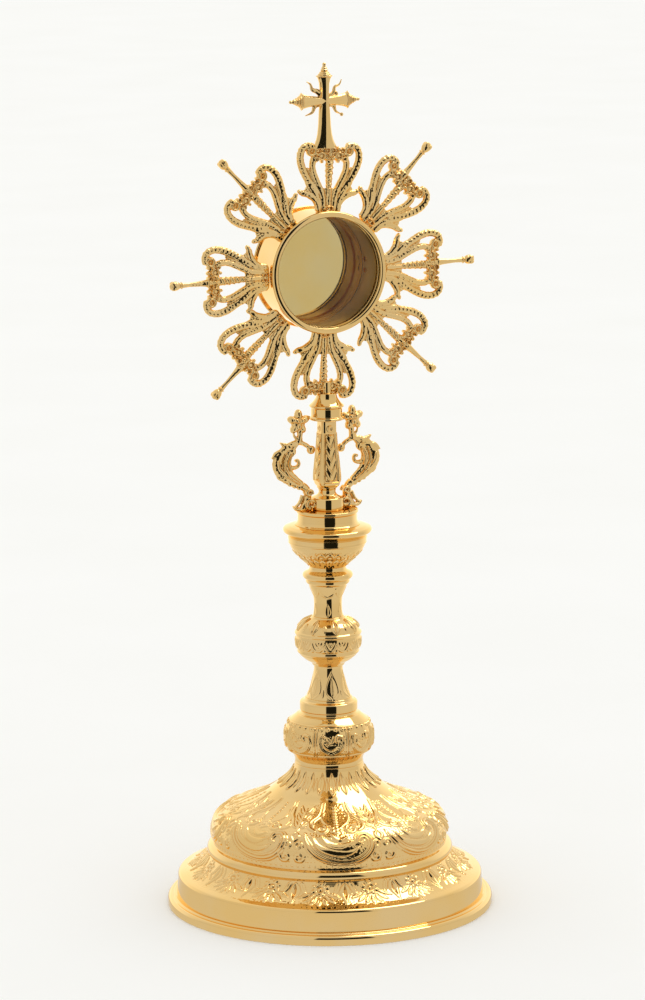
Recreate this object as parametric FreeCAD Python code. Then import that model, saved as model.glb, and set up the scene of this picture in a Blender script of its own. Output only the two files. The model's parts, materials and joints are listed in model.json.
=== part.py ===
"""Small gilt monstrance: an embossed foot, a stem of turned pieces on one tie rod, and a sunburst head.

Millimetres. Origin at the centre of the foot's underside, +Z up, the glass faces -Y.
"""

import math
import os

import FreeCAD
import Part
from FreeCAD import Vector

os.makedirs("parts", exist_ok=True)

# ---- driving dimensions ----
FOOT_RADIUS = 65.0
RIM_HEIGHT = 4.4
SHELL_WALL = 1.0
NECK_RADIUS = 13.7
NECK_PLATE = 1.4
WASHER_THICKNESS = 2.0
NUT_HEIGHT = 4.0
NUT_ACROSS_FLATS = 8.0
ROD_BELOW_NUT = 3.0

# heights of the seats between the stem pieces, from the table up
Z_NECK = 57.5
Z_KNOP = 62.5
Z_KNOP_RING = 77.5
Z_LOWER_VASE = 84.0
Z_NODE = 97.2
Z_UPPER_VASE = 117.0
Z_DISC = 130.0
Z_CUP = 137.3
Z_CUP_COLLAR = 154.2
Z_PLINTH = 160.2
Z_BALUSTER = 169.0
Z_CAP = 195.6
CAP_TOP = 206.5

ROD_RADIUS = 2.5
ROD_BORE = 2.7
ROD_THREAD = 4.0
STUD_RADIUS = 1.5
STUD_LENGTH = 23.0
STUD_DEPTH = 8.0
BRACKET_THICKNESS = 2.6
BLOSSOM_RADIUS = 3.1
BUD_RADIUS = 1.6

# the sunburst head, round the case axis
HEAD_Z = 254.5
CASE_RADIUS = 23.4
CASE_INNER = 22.4
CASE_FRONT = -2.2
CASE_BACK = 15.0
BEZEL_OUTER = 24.2
BEZEL_INNER = 21.6
GLASS_THICKNESS = 1.5
GLASS_PLAY = 0.1
SEAT_THICKNESS = 0.8
RETAINER_WALL = 0.7
RETAINER_DEPTH = 6.0
PALMETTE_THICKNESS = 2.4
PALMETTE_COUNT = 8
BOSS_TOP = 48.0
TANG_RADIUS = 1.0
TANG_FROM = 44.0
BOSS_RADIUS = 2.3
BOSS_FROM = 42.6
CROSS_CENTRE = 66.9
CROSS_DEPTH = 3.2
FLAME_THICKNESS = 1.2
FINIAL_RADIUS = 3.0

# back door, hinge and turn catch
DOOR_RADIUS = 24.3
DOOR_FRONT = 15.2
DOOR_THICKNESS = 1.2
DOOR_SEAT_RADIUS = 20.3
DOOR_SEAT_DEPTH = 0.9
HINGE_X = 25.6
HINGE_Y = 15.8
KNUCKLE_RADIUS = 1.2
PIN_RADIUS = 0.5
PIN_CLEARANCE = 0.05
KNUCKLE_HALF = 3.5
DOOR_KNUCKLE_HALF = 1.15
CATCH_X = -25.9
CATCH_SCREW_RADIUS = 0.55
CATCH_THICKNESS = 0.9
CATCH_GAP = 0.08
LUG_HALF = 1.3
LUG_FRONT = 11.5
LUG_DEPTH = 5.1
RIVET_RADIUS = 0.55
RIVET_HEAD = 0.95
RIVET_HEAD_HEIGHT = 0.4
RIVET_Y = 11.6
RIVET_Z = (-2.25, 2.25)
DOOR_RIVET_X = (16.2, 20.6)
RIVET_FROM = 21.9
LEAF_THICKNESS = 0.9
CASE_LEAF_FROM = Vector(22.0, 8.0, 0)
KNUCKLE_OFFSET = 1.15
KNUCKLE_GAP = 0.1
KNUCKLE_WEB_FROM = 13.6
DOOR_LEAF_FROM = 14.0
DOOR_LEAF_HEIGHT = 5.0
PIN_HEAD_RADIUS = 0.85
PIN_HEAD_HEIGHT = 0.5

AXIS_Z = Vector(0, 0, 1)
AXIS_Y = Vector(0, 1, 0)
ORIGIN = Vector(0, 0, 0)
HEAD_CENTRE = Vector(0, 0, HEAD_Z)


# ---- drawing helpers ----
class Outline:
    """A closed outline in a plane, drawn point by point: (a, b) becomes (a, 0, b)."""

    def __init__(self, a, b):
        self.first = Vector(a, 0, b)
        self.at = self.first
        self.edges = []

    def line(self, *points):
        for a, b in points:
            to = Vector(a, 0, b)
            self.edges.append(Part.makeLine(self.at, to))
            self.at = to
        return self

    def arc(self, middle, end):
        to = Vector(end[0], 0, end[1])
        through = Vector(middle[0], 0, middle[1])
        self.edges.append(Part.Arc(self.at, through, to).toShape())
        self.at = to
        return self

    def curve(self, *points):
        """A smooth curve through the points."""
        way = [self.at] + [Vector(a, 0, b) for a, b in points]
        spline = Part.BSplineCurve()
        spline.interpolate(way)
        self.edges.append(spline.toShape())
        self.at = way[-1]
        return self

    def wire(self):
        if self.at.distanceToPoint(self.first) > 1e-6:
            self.edges.append(Part.makeLine(self.at, self.first))
        return Part.Wire(self.edges)

    def face(self):
        return Part.Face(self.wire())

    def turned(self):
        """The outline turned about Z."""
        return self.face().revolve(ORIGIN, AXIS_Z, 360)

    def turned_about_case(self):
        """The outline (radius, depth) turned about the case axis, which runs front to back along Y."""
        solid = self.turned()
        solid.rotate(ORIGIN, Vector(1, 0, 0), -90)
        solid.translate(HEAD_CENTRE)
        return solid


def offset_inward(points, wall):
    """The same points moved by one wall thickness towards the inside of a turned profile."""
    moved = []
    for i, (r, z) in enumerate(points):
        before = points[max(i - 1, 0)]
        after = points[min(i + 1, len(points) - 1)]
        dr, dz = after[0] - before[0], after[1] - before[1]
        length = math.hypot(dr, dz)
        moved.append((r - wall * dz / length, z + wall * dr / length))
    return moved


def bored(solid, radius, z_low, z_high):
    hole = Part.makeCylinder(radius, z_high - z_low, Vector(0, 0, z_low))
    return solid.cut(hole)


def plate(outline, thickness):
    """An outline as a flat plate, centred on Y = 0."""
    face = outline.face()
    face.translate(Vector(0, -thickness / 2, 0))
    return face.extrude(Vector(0, thickness, 0))


def mirrored(shape):
    return shape.mirror(ORIGIN, Vector(1, 0, 0))


def export(name, shape):
    if shape.ShapeType != "Solid" and len(shape.Solids) == 1:
        shape = shape.Solids[0]
    shape.exportStep("parts/%s.step" % name)


# ---- foot ----
def foot_rim():
    """Rolled bead round the foot, with a flange turned in underneath."""
    inner = FOOT_RADIUS - 7.5
    wall = FOOT_RADIUS - 4.8
    rim = Outline(inner, 0).line((FOOT_RADIUS - 0.6, 0))
    rim.arc((FOOT_RADIUS - 0.15, 0.15), (FOOT_RADIUS, 0.6)).line((FOOT_RADIUS, 2.4))
    rim.arc((FOOT_RADIUS - 0.45, 3.5), (FOOT_RADIUS - 1.5, 3.95))
    rim.line((FOOT_RADIUS - 2.8, RIM_HEIGHT), (wall, RIM_HEIGHT), (wall, 1.6), (inner, 1.6))
    return rim.turned()


def foot_shell():
    """One thin raised sheet: upright band, sloping border, polished roll, domed shoulder and neck."""
    border = [(60.1, 13.1), (56.3, 14.3), (52.5, 16.3), (49.9, 18.6), (48.3, 21.0)]
    roll = [(48.9, 22.0), (48.9, 23.4), (48.1, 24.5), (46.6, 25.2)]
    dome = [(46.5, 26.6), (47.0, 28.8), (47.1, 31.0), (46.4, 33.7), (44.9, 35.9), (42.2, 38.0), (37.6, 40.1)]
    dome += [(32.3, 42.1), (27.8, 44.1), (24.4, 46.1), (21.3, 48.3)]
    neck = [(18.5, 50.3), (16.2, 52.4), (14.7, 54.4), (13.9, 56.2), (NECK_RADIUS, Z_NECK)]
    band_foot = (FOOT_RADIUS - 3.6, RIM_HEIGHT)
    band_top = (FOOT_RADIUS - 4.3, 12.3)
    shell = Outline(*band_foot).line(band_top).arc((60.55, 12.9), border[0])
    shell.curve(*border[1:]).curve(*roll).curve(*dome, *neck)
    plate_low = Z_NECK - NECK_PLATE
    shell.line((ROD_BORE, Z_NECK), (ROD_BORE, plate_low), (NECK_RADIUS - SHELL_WALL, plate_low))
    inside = offset_inward([band_foot, band_top, *border[1:-1], *dome, *neck[:-1]], SHELL_WALL)
    inside[0] = (band_foot[0] - SHELL_WALL, RIM_HEIGHT)
    shell.curve(*reversed(inside[1:]))
    shell.line(inside[0])
    return shell.turned()


def clamp_washer():
    """Dished washer that spreads the tie rod's pull under the foot's neck."""
    top = Z_NECK - NECK_PLATE
    low = top - WASHER_THICKNESS
    washer = Outline(ROD_BORE, low).line((8.0, low), (11.4, low + 1.2), (11.4, top), (ROD_BORE, top))
    return washer.turned()


def nut_low():
    return Z_NECK - NECK_PLATE - WASHER_THICKNESS - NUT_HEIGHT


def rod_nut():
    low = nut_low()
    corner = NUT_ACROSS_FLATS / math.sqrt(3)
    ring = [
        Vector(corner * math.cos(math.radians(60 * i)), corner * math.sin(math.radians(60 * i)), low)
        for i in range(7)
    ]
    nut = Part.Face(Part.makePolygon(ring)).extrude(Vector(0, 0, NUT_HEIGHT))
    return bored(nut, ROD_RADIUS, low, low + NUT_HEIGHT)


def tie_rod():
    low = nut_low() - ROD_BELOW_NUT
    return Part.makeCylinder(ROD_RADIUS, Z_PLINTH + ROD_THREAD - low, Vector(0, 0, low))


# ---- stem: turned pieces threaded on the tie rod ----
def neck_collar():
    """Plain flaring collar between the foot and the knop."""
    collar = Outline(ROD_BORE, Z_NECK).line((NECK_RADIUS, Z_NECK))
    collar.curve((13.6, 59.0), (14.3, 60.9), (15.7, Z_KNOP))
    return collar.line((ROD_BORE, Z_KNOP)).turned()


def lower_knop():
    knop = Outline(ROD_BORE, Z_KNOP).line((16.0, Z_KNOP))
    knop.curve((17.1, 64.3), (17.7, 66.8), (17.7, 69.4), (17.1, 72.3), (15.6, 75.0), (12.6, Z_KNOP_RING))
    knop.line((ROD_BORE, Z_KNOP_RING))
    hollow = Outline(0, 64.0).line((14.6, 64.0), (16.2, 67.0), (16.2, 70.0), (14.2, 74.2), (11.0, 76.1))
    return knop.turned().cut(hollow.line((0, 76.1)).turned())


def knop_ring():
    """Stepped ring between the knop and the lower vase."""
    ring = Outline(ROD_BORE, Z_KNOP_RING).line((12.1, Z_KNOP_RING))
    ring.curve((11.2, 78.0), (11.1, 78.9)).line((11.5, 79.2), (11.5, 82.0))
    ring.arc((11.2, 82.6), (10.5, 82.8)).curve((9.7, 83.2), (9.4, Z_LOWER_VASE))
    return ring.line((ROD_BORE, Z_LOWER_VASE)).turned()


def lower_vase():
    vase = Outline(ROD_BORE, Z_LOWER_VASE).line((9.1, Z_LOWER_VASE))
    vase.curve((8.0, 86.0), (7.2, 88.2), (6.6, 90.6), (6.0, 93.4), (5.7, 96.0), (5.8, Z_NODE))
    return vase.line((ROD_BORE, Z_NODE)).turned()


def middle_node():
    """Ringed knop halfway up the stem, with a cavetto under it."""
    node = Outline(ROD_BORE, Z_NODE).line((6.3, Z_NODE))
    node.curve((7.2, 98.4), (9.2, 99.6), (11.3, 101.4)).line((11.8, 102.2))
    node.arc((12.4, 102.9), (12.2, 103.6)).curve((12.8, 105.0), (13.1, 107.2), (12.9, 109.6))
    node.line((13.2, 110.0)).arc((13.3, 110.6), (12.9, 111.1)).line((12.6, 111.3))
    node.curve((11.9, 113.0), (10.3, 114.6), (8.3, 115.6), (6.8, 116.3), (6.3, Z_UPPER_VASE))
    node.line((ROD_BORE, Z_UPPER_VASE))
    hollow = Outline(0, 101.5).line((9.5, 101.5), (11.4, 105.0), (11.4, 110.0), (9.8, 113.0), (0, 113.0))
    return node.turned().cut(hollow.turned())


def upper_vase():
    vase = Outline(ROD_BORE, Z_UPPER_VASE).line((6.1, Z_UPPER_VASE))
    vase.curve((5.7, 118.8), (5.55, 121.5), (5.65, 124.2), (6.2, 126.4), (7.0, 128.3), (7.6, Z_DISC))
    return vase.line((ROD_BORE, Z_DISC)).turned()


def disc_collar():
    disc = Outline(ROD_BORE, Z_DISC).line((7.3, Z_DISC))
    disc.curve((7.9, 131.2), (9.2, 132.2)).arc((10.0, 133.5), (9.4, 134.9))
    disc.curve((8.0, 135.4), (7.4, 136.2), (7.3, Z_CUP))
    return disc.line((ROD_BORE, Z_CUP)).turned()


def cup():
    """Half-round cup with a rolled lip."""
    bowl = Outline(ROD_BORE, Z_CUP).line((7.3, Z_CUP))
    bowl.curve((8.2, 138.6), (10.2, 140.4), (12.6, 142.5), (14.4, 144.8), (15.4, 147.2), (15.7, 149.3))
    bowl.line((15.3, 149.6)).curve((15.9, 150.3), (16.9, 151.0))
    bowl.arc((17.6, 152.1), (16.9, 153.1)).line((15.0, 153.7), (12.0, Z_CUP_COLLAR), (ROD_BORE, Z_CUP_COLLAR))
    hollow = Outline(0, 139.3).line((6.5, 139.3), (11.2, 143.2), (13.7, 147.0), (13.9, 151.5), (11.0, 152.6))
    return bowl.turned().cut(hollow.line((0, 152.6)).turned())


def cup_collar():
    collar = Outline(ROD_BORE, Z_CUP_COLLAR).line((13.0, Z_CUP_COLLAR))
    collar.curve((12.2, 154.8), (11.8, 155.9)).line((11.75, 158.6))
    collar.arc((12.3, 159.4), (11.9, Z_PLINTH))
    return collar.line((ROD_BORE, Z_PLINTH)).turned()


def bracket_plinth():
    """Small drum on the cup collar; the tie rod screws into it from below."""
    plinth = Outline(0, Z_PLINTH).line((6.3, Z_PLINTH), (6.6, 160.6), (6.6, 163.8))
    plinth.arc((6.4, 164.7), (5.6, 165.2)).curve((4.2, 165.8), (3.4, 166.9), (3.6, 168.2), (4.2, Z_BALUSTER))
    solid = plinth.line((0, Z_BALUSTER)).turned()
    return bored(solid, ROD_RADIUS, Z_PLINTH, Z_PLINTH + ROD_THREAD)


def rounded_square(half, corner, z):
    """A square section with round corners, drawn anticlockwise at height z."""
    flat = half - corner
    edges = []
    for quarter in range(4):
        turn = math.radians(90 * quarter)

        def at(x, y, turn=turn):
            c, s = math.cos(turn), math.sin(turn)
            return Vector(c * x - s * y, s * x + c * y, z)

        bow = flat + corner * math.sqrt(0.5)
        edges.append(Part.makeLine(at(half, -flat), at(half, flat)))
        edges.append(Part.Arc(at(half, flat), at(bow, bow), at(flat, half)).toShape())
    return Part.Wire(edges)


def baluster():
    """Pear-shaped square shaft under the head."""
    halves = [(Z_BALUSTER, 3.4), (170.3, 4.3), (173.0, 4.6), (178.0, 4.25), (184.0, 3.7), (190.0, 3.3)]
    sections = [rounded_square(half, half * 0.3, z) for z, half in halves + [(Z_CAP, 3.2)]]
    shaft = Part.makeLoft(sections, True, False)
    return bored(shaft, STUD_RADIUS, Z_CAP - STUD_DEPTH, Z_CAP)


def baluster_cap():
    cap = Outline(STUD_RADIUS, Z_CAP).line((5.2, Z_CAP), (6.8, 196.0)).arc((7.1, 196.5), (6.8, 197.0))
    cap.line((6.2, 197.4), (6.2, 200.6), (6.7, 201.1)).arc((6.9, 201.6), (6.5, 202.0))
    cap.curve((5.4, 203.1), (4.3, 204.7), (3.9, CAP_TOP))
    return cap.line((STUD_RADIUS, CAP_TOP)).turned()


def head_stud():
    return Part.makeCylinder(STUD_RADIUS, STUD_LENGTH, Vector(0, 0, Z_CAP - STUD_DEPTH))


def scroll_bracket():
    """Cast S-scroll on the right of the baluster: toe, leg, leafy bow, inner bud and a blossom on top."""
    toe = Z_PLINTH + 0.05
    leaf = Outline(7.3, toe).line((11.8, toe))
    leaf.curve((13.2, 160.5), (14.6, 161.4)).curve((12.2, 162.2), (10.3, 164.4), (9.7, 167.0), (10.8, 169.6))
    leaf.curve((14.6, 171.8), (18.6, 175.0), (21.2, 178.0), (22.6, 180.6))
    leaf.curve((20.9, 183.2), (19.5, 185.6), (18.9, 188.0))
    leaf.curve((15.4, 187.7), (12.9, 189.4), (11.8, 192.0), (11.4, 195.0))
    leaf.line((9.4, 195.0)).curve((9.4, 192.0), (10.3, 189.2), (8.6, 187.3), (5.6, 185.8))
    leaf.line((3.0, 185.4), (3.0, 182.8)).curve((6.6, 183.4), (10.0, 185.2), (12.2, 184.3), (12.9, 181.8))
    leaf.line((11.0, 180.2), (11.3, 178.8)).curve((13.0, 178.4), (13.6, 176.8), (11.9, 173.8), (8.9, 171.2))
    leaf.curve((7.4, 168.8), (7.2, 166.2), (7.3, 163.0))
    solid = plate(leaf, BRACKET_THICKNESS)
    blossom = Part.makeSphere(BLOSSOM_RADIUS, Vector(10.4, 0, 196.2))
    bud = Part.makeSphere(BUD_RADIUS, Vector(5.2, 0, 184.2))
    return solid.fuse([blossom, bud])


# ---- sunburst head ----
def palmette():
    """Heart-shaped openwork casting, drawn upright above the case centre: (across, out from the centre)."""
    root = CASE_RADIUS - 2.0
    half = Outline(0, root).line((4.4, root))
    half.curve((4.6, 24.6), (5.6, 27.0), (8.0, 29.0), (11.5, 29.6)).curve((10.4, 31.5), (9.6, 33.4))
    half.curve((12.2, 37.5), (13.8, 42.0), (13.6, 45.8), (11.6, 49.2), (8.2, 50.6), (4.9, 49.3))
    half.curve((3.4, 47.9), (0.0, 47.0))
    kite = Outline(1.6, 33.0).curve((4.4, 36.0), (6.8, 39.2), (6.3, 41.5), (4.0, 42.3), (1.6, 41.4))
    lens = Outline(9.2, 38.0).curve((11.2, 41.2), (11.5, 44.4), (10.5, 46.8))
    lens.curve((9.3, 44.6), (8.3, 41.6), (9.2, 38.0))
    sheet = plate(half, PALMETTE_THICKNESS).cut([plate(kite, 5.0), plate(lens, 5.0)])
    rosette = Part.makeCylinder(1.9, 3.4, Vector(7.9, -1.7, 46.0), AXIS_Y)
    side = sheet.fuse(rosette)
    boss = Part.makeCylinder(BOSS_RADIUS, BOSS_TOP - BOSS_FROM, Vector(0, 0, BOSS_FROM))
    tang = Part.makeCylinder(TANG_RADIUS, BOSS_TOP - TANG_FROM, Vector(0, 0, TANG_FROM))
    case = Part.makeCylinder(CASE_RADIUS, 20, Vector(0, -10, 0), AXIS_Y)
    return side.fuse([mirrored(side), boss]).cut([tang, case]).removeSplitter()


def ray():
    """Tapering ray with a bud at its tip, on a tang let into the palmette's boss."""
    rod = Outline(0, TANG_FROM).line((TANG_RADIUS, TANG_FROM), (TANG_RADIUS, BOSS_TOP), (1.7, BOSS_TOP))
    rod.curve((1.3, 51.0), (0.95, 54.5), (0.9, 57.5), (1.3, 59.4))
    rod.curve((2.0, 61.0), (2.1, 62.0), (1.7, 63.0)).line((0, 64.2))
    return rod.turned()


def place_in_head(shape, turn_deg):
    """Lifts a shape drawn above the origin to the case centre and turns it clockwise, seen from the front."""
    placed = shape.copy()
    placed.rotate(ORIGIN, AXIS_Y, turn_deg)
    placed.translate(HEAD_CENTRE)
    return placed


def finial(radius):
    """Collar and stepped cone that end an arm of the cross, drawn upwards from 0."""
    cone = Outline(0, 0).line((radius, 0)).arc((radius + 0.25, 0.45), (radius, 0.9))
    cone.line((radius * 0.64, 1.1), (radius * 0.7, 1.6), (radius * 0.48, 2.3), (radius * 0.52, 2.7))
    return cone.line((radius * 0.25, 3.6), (radius * 0.3, 4.0), (0, 4.7)).turned()


def octagon(width, depth, z):
    """Bevelled bar section: flat front and back, with a bevel each side."""
    w, d = width / 2, depth / 2
    corners = [(w, 0.35 * d), (0.4 * w, d), (-0.4 * w, d), (-w, 0.35 * d)]
    corners += [(-w, -0.35 * d), (-0.4 * w, -d), (0.4 * w, -d), (w, -0.35 * d)]
    return Part.makePolygon([Vector(x, y, z) for x, y in corners + corners[:1]])


def cross():
    """Cross with stepped cones on three arms and a wavy flame in each corner."""
    widths = [(BOSS_TOP, 10.2), (50.0, 8.4), (51.8, 6.9), (54.0, 5.9), (57.5, 5.1)]
    widths += [(CROSS_CENTRE, 3.9), (73.0, 4.0), (76.0, 6.0)]
    shaft = Part.makeLoft([octagon(width, CROSS_DEPTH, z) for z, width in widths], True, False)
    arm_widths = ((0, 3.0), (4.5, 3.9), (7.0, 4.6), (9.4, 6.0))
    arm = Part.makeLoft([octagon(width, CROSS_DEPTH, z) for z, width in arm_widths], True, False)
    cone = finial(FINIAL_RADIUS)
    pieces = []
    top = cone.copy()
    top.translate(Vector(0, 0, 76.0))
    pieces.append(top)
    for side in (90, -90):
        for source, start in ((arm, 0.0), (cone, arm_widths[-1][0])):
            piece = source.copy()
            piece.translate(Vector(0, 0, start))
            piece.rotate(ORIGIN, AXIS_Y, side)
            piece.translate(Vector(0, 0, CROSS_CENTRE))
            pieces.append(piece)
    flame = Outline(-1.4, 1.2).curve((-0.9, 4.0), (0.4, 6.4), (-0.3, 8.6), (0.4, 10.8))
    flame.curve((0.9, 8.6), (1.6, 6.2), (0.9, 3.8), (1.4, 1.2))
    flame = plate(flame, FLAME_THICKNESS)
    for corner in (45, 135, 225, 315):
        piece = flame.copy()
        piece.rotate(ORIGIN, AXIS_Y, corner)
        piece.translate(Vector(0, 0, CROSS_CENTRE))
        pieces.append(piece)
    tang = Part.makeCylinder(TANG_RADIUS, BOSS_TOP - TANG_FROM + 1.0, Vector(0, 0, TANG_FROM))
    whole = shaft.fuse(pieces + [tang])
    whole.translate(HEAD_CENTRE)
    return whole.removeSplitter()


# ---- case ----
def case_drum():
    """Tube of the case, with a seat for the glass turned in at the front."""
    tube = Outline(BEZEL_INNER, CASE_FRONT).line((CASE_RADIUS, CASE_FRONT), (CASE_RADIUS, CASE_BACK))
    seat = CASE_FRONT + SEAT_THICKNESS
    tube.line((CASE_INNER, CASE_BACK), (CASE_INNER, seat), (BEZEL_INNER, seat))
    drum = tube.turned_about_case()
    for z in RIVET_Z:
        drum = drum.cut(Part.makeCylinder(RIVET_RADIUS, 4, Vector(21, RIVET_Y, HEAD_Z + z), Vector(1, 0, 0)))
    return drum


def bezel_ring():
    """Rounded ring round the front of the case."""
    back = CASE_FRONT
    ring = Outline(BEZEL_INNER, back).line((BEZEL_INNER, back - 1.2))
    ring.arc((22.3, back - 2.4), (23.2, back - 2.4)).arc((24.1, back - 1.8), (BEZEL_OUTER, back - 0.8))
    ring.line((BEZEL_OUTER, back + 0.9), (CASE_RADIUS, back + 0.9), (CASE_RADIUS, back))
    return ring.turned_about_case()


def front_glass():
    front = CASE_FRONT + SEAT_THICKNESS
    radius = CASE_INNER - GLASS_PLAY
    disc = Outline(0, front).line((radius, front), (radius, front + GLASS_THICKNESS))
    return disc.line((0, front + GLASS_THICKNESS)).turned_about_case()


def glass_retainer():
    """Sprung sleeve that holds the glass against its seat."""
    front = CASE_FRONT + SEAT_THICKNESS + GLASS_THICKNESS
    back = front + RETAINER_DEPTH
    inner = CASE_INNER - RETAINER_WALL
    sleeve = Outline(inner, front).line((CASE_INNER, front), (CASE_INNER, back), (inner, back))
    return sleeve.turned_about_case()


def back_door():
    """Flat disc with a raised seat that drops into the case and a rolled edge."""
    back = DOOR_FRONT + DOOR_THICKNESS
    seat, face = DOOR_SEAT_RADIUS, DOOR_FRONT - DOOR_SEAT_DEPTH
    disc = Outline(0, face).line((seat, face)).arc((seat + 0.7, face + 0.3), (seat + 0.9, DOOR_FRONT))
    disc.line((DOOR_RADIUS - 0.4, DOOR_FRONT)).arc((DOOR_RADIUS, DOOR_FRONT + 0.6), (DOOR_RADIUS - 0.4, back))
    disc.line((0, back))
    door = disc.turned_about_case()
    for x in DOOR_RIVET_X:
        door = door.cut(Part.makeCylinder(RIVET_RADIUS, 4, Vector(x, DOOR_FRONT - 2, HEAD_Z), AXIS_Y))
    return door


def knuckle(z_low, z_high, bore):
    centre = Vector(HINGE_X, HINGE_Y, HEAD_Z + z_low)
    barrel = Part.makeCylinder(KNUCKLE_RADIUS, z_high - z_low, centre)
    return barrel, Part.makeCylinder(bore, z_high - z_low, centre)


def case_hinge_leaf():
    """Leaf riveted to the drum's right side, with the outer two knuckles."""
    reach = HINGE_X - KNUCKLE_OFFSET
    corner = CASE_LEAF_FROM + Vector(0, 0, HEAD_Z - KNUCKLE_HALF)
    leaf = Part.makeBox(HINGE_X - 1.0 - corner.x, CASE_BACK - corner.y, 2 * KNUCKLE_HALF, corner)
    drum = Part.makeCylinder(CASE_RADIUS, 30, Vector(0, -5, HEAD_Z), AXIS_Y)
    leaf = leaf.cut(drum)
    gap = DOOR_KNUCKLE_HALF + KNUCKLE_GAP
    for low, high in ((-KNUCKLE_HALF, -gap), (gap, KNUCKLE_HALF)):
        barrel, bore = knuckle(low, high, PIN_RADIUS)
        web_corner = Vector(reach, KNUCKLE_WEB_FROM, HEAD_Z + low)
        web = Part.makeBox(KNUCKLE_OFFSET, HINGE_Y - KNUCKLE_WEB_FROM, high - low, web_corner)
        leaf = leaf.fuse([barrel, web]).cut(bore)
    for z in RIVET_Z:
        leaf = leaf.cut(Part.makeCylinder(RIVET_RADIUS, 6, Vector(21, RIVET_Y, HEAD_Z + z), Vector(1, 0, 0)))
    return leaf.removeSplitter()


def door_hinge_leaf():
    """Leaf riveted across the door's back, with the middle knuckle."""
    back = DOOR_FRONT + DOOR_THICKNESS
    corner = Vector(DOOR_LEAF_FROM, back, HEAD_Z - DOOR_LEAF_HEIGHT / 2)
    pad = Part.makeBox(HINGE_X - 1.6 - DOOR_LEAF_FROM, LEAF_THICKNESS, DOOR_LEAF_HEIGHT, corner)
    half = DOOR_KNUCKLE_HALF
    web = Part.makeBox(2.6, 17.0 - back, 2 * half, Vector(HINGE_X - 2.6, back, HEAD_Z - half))
    barrel, bore = knuckle(-half, half, PIN_RADIUS + PIN_CLEARANCE)
    leaf = pad.fuse([web, barrel]).cut(bore)
    for x in DOOR_RIVET_X:
        leaf = leaf.cut(Part.makeCylinder(RIVET_RADIUS, 6, Vector(x, DOOR_FRONT - 2, HEAD_Z), AXIS_Y))
    return leaf.removeSplitter()


def hinge_pin():
    """Pin through all three knuckles, with a small head at the top."""
    low = HEAD_Z - KNUCKLE_HALF
    pin = Part.makeCylinder(PIN_RADIUS, 2 * KNUCKLE_HALF, Vector(HINGE_X, HINGE_Y, low))
    top = Vector(HINGE_X, HINGE_Y, low + 2 * KNUCKLE_HALF)
    head = Part.makeCylinder(PIN_HEAD_RADIUS, PIN_HEAD_HEIGHT, top)
    return pin.fuse(head).removeSplitter()


def case_rivets():
    """Two rivets that hold the hinge leaf to the drum; their heads show inside the case."""
    rivets = []
    outside = HINGE_X - 1.0
    drum = Part.makeCylinder(CASE_INNER, 30, Vector(0, -5, HEAD_Z), AXIS_Y)
    for z in RIVET_Z:
        def across(radius, start, length, z=z):
            return Part.makeCylinder(radius, length, Vector(start, RIVET_Y, HEAD_Z + z), Vector(1, 0, 0))

        shank = across(RIVET_RADIUS, RIVET_FROM, outside - RIVET_FROM)
        inner_head = across(RIVET_HEAD, RIVET_FROM - 0.15, 0.5)
        outer_head = across(RIVET_HEAD, outside, RIVET_HEAD_HEIGHT)
        rivets.append(shank.fuse([inner_head.common(drum), outer_head]).removeSplitter().Solids[0])
    return Part.makeCompound(rivets)


def door_rivets():
    rivets = []
    back = DOOR_FRONT + DOOR_THICKNESS + LEAF_THICKNESS
    front = DOOR_FRONT - DOOR_SEAT_DEPTH
    for x in DOOR_RIVET_X:
        seat = front if x < 20.0 else DOOR_FRONT - 0.25
        shank = Part.makeCylinder(RIVET_RADIUS, back - seat, Vector(x, seat, HEAD_Z), AXIS_Y)
        head = Part.makeCylinder(RIVET_HEAD, RIVET_HEAD_HEIGHT, Vector(x, back, HEAD_Z), AXIS_Y)
        rivets.append(shank.fuse(head).removeSplitter().Solids[0])
    return Part.makeCompound(rivets)


def catch_lug():
    """Lug soldered to the drum's left side, drilled for the catch screw."""
    lug = Part.makeBox(6.0, LUG_DEPTH, 2 * LUG_HALF, Vector(CATCH_X, LUG_FRONT, HEAD_Z - LUG_HALF))
    lug = lug.fuse(Part.makeCylinder(LUG_HALF, LUG_DEPTH, Vector(CATCH_X, LUG_FRONT, HEAD_Z), AXIS_Y))
    drum = Part.makeCylinder(CASE_RADIUS, LUG_DEPTH, Vector(0, LUG_FRONT, HEAD_Z), AXIS_Y)
    behind = CASE_BACK - 0.4
    door_room = Part.makeCylinder(DOOR_RADIUS + 0.15, 5.0, Vector(0, behind, HEAD_Z), AXIS_Y)
    hole = Part.makeCylinder(CATCH_SCREW_RADIUS, LUG_DEPTH, Vector(CATCH_X, LUG_FRONT, HEAD_Z), AXIS_Y)
    return lug.cut([drum, door_room, hole]).removeSplitter()


def catch_screw():
    """Shouldered screw that the catch turns on."""
    tip = LUG_FRONT + 1.5
    seat = LUG_FRONT + LUG_DEPTH + CATCH_THICKNESS + 2 * CATCH_GAP
    shank = Part.makeCylinder(CATCH_SCREW_RADIUS, seat - tip, Vector(CATCH_X, tip, HEAD_Z), AXIS_Y)
    head = Part.makeCylinder(1.2, 0.7, Vector(CATCH_X, seat, HEAD_Z), AXIS_Y)
    slot = Part.makeBox(3.0, 0.4, 0.35, Vector(CATCH_X - 1.5, seat + 0.35, HEAD_Z - 0.175))
    return shank.fuse(head).cut(slot).removeSplitter()


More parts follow.
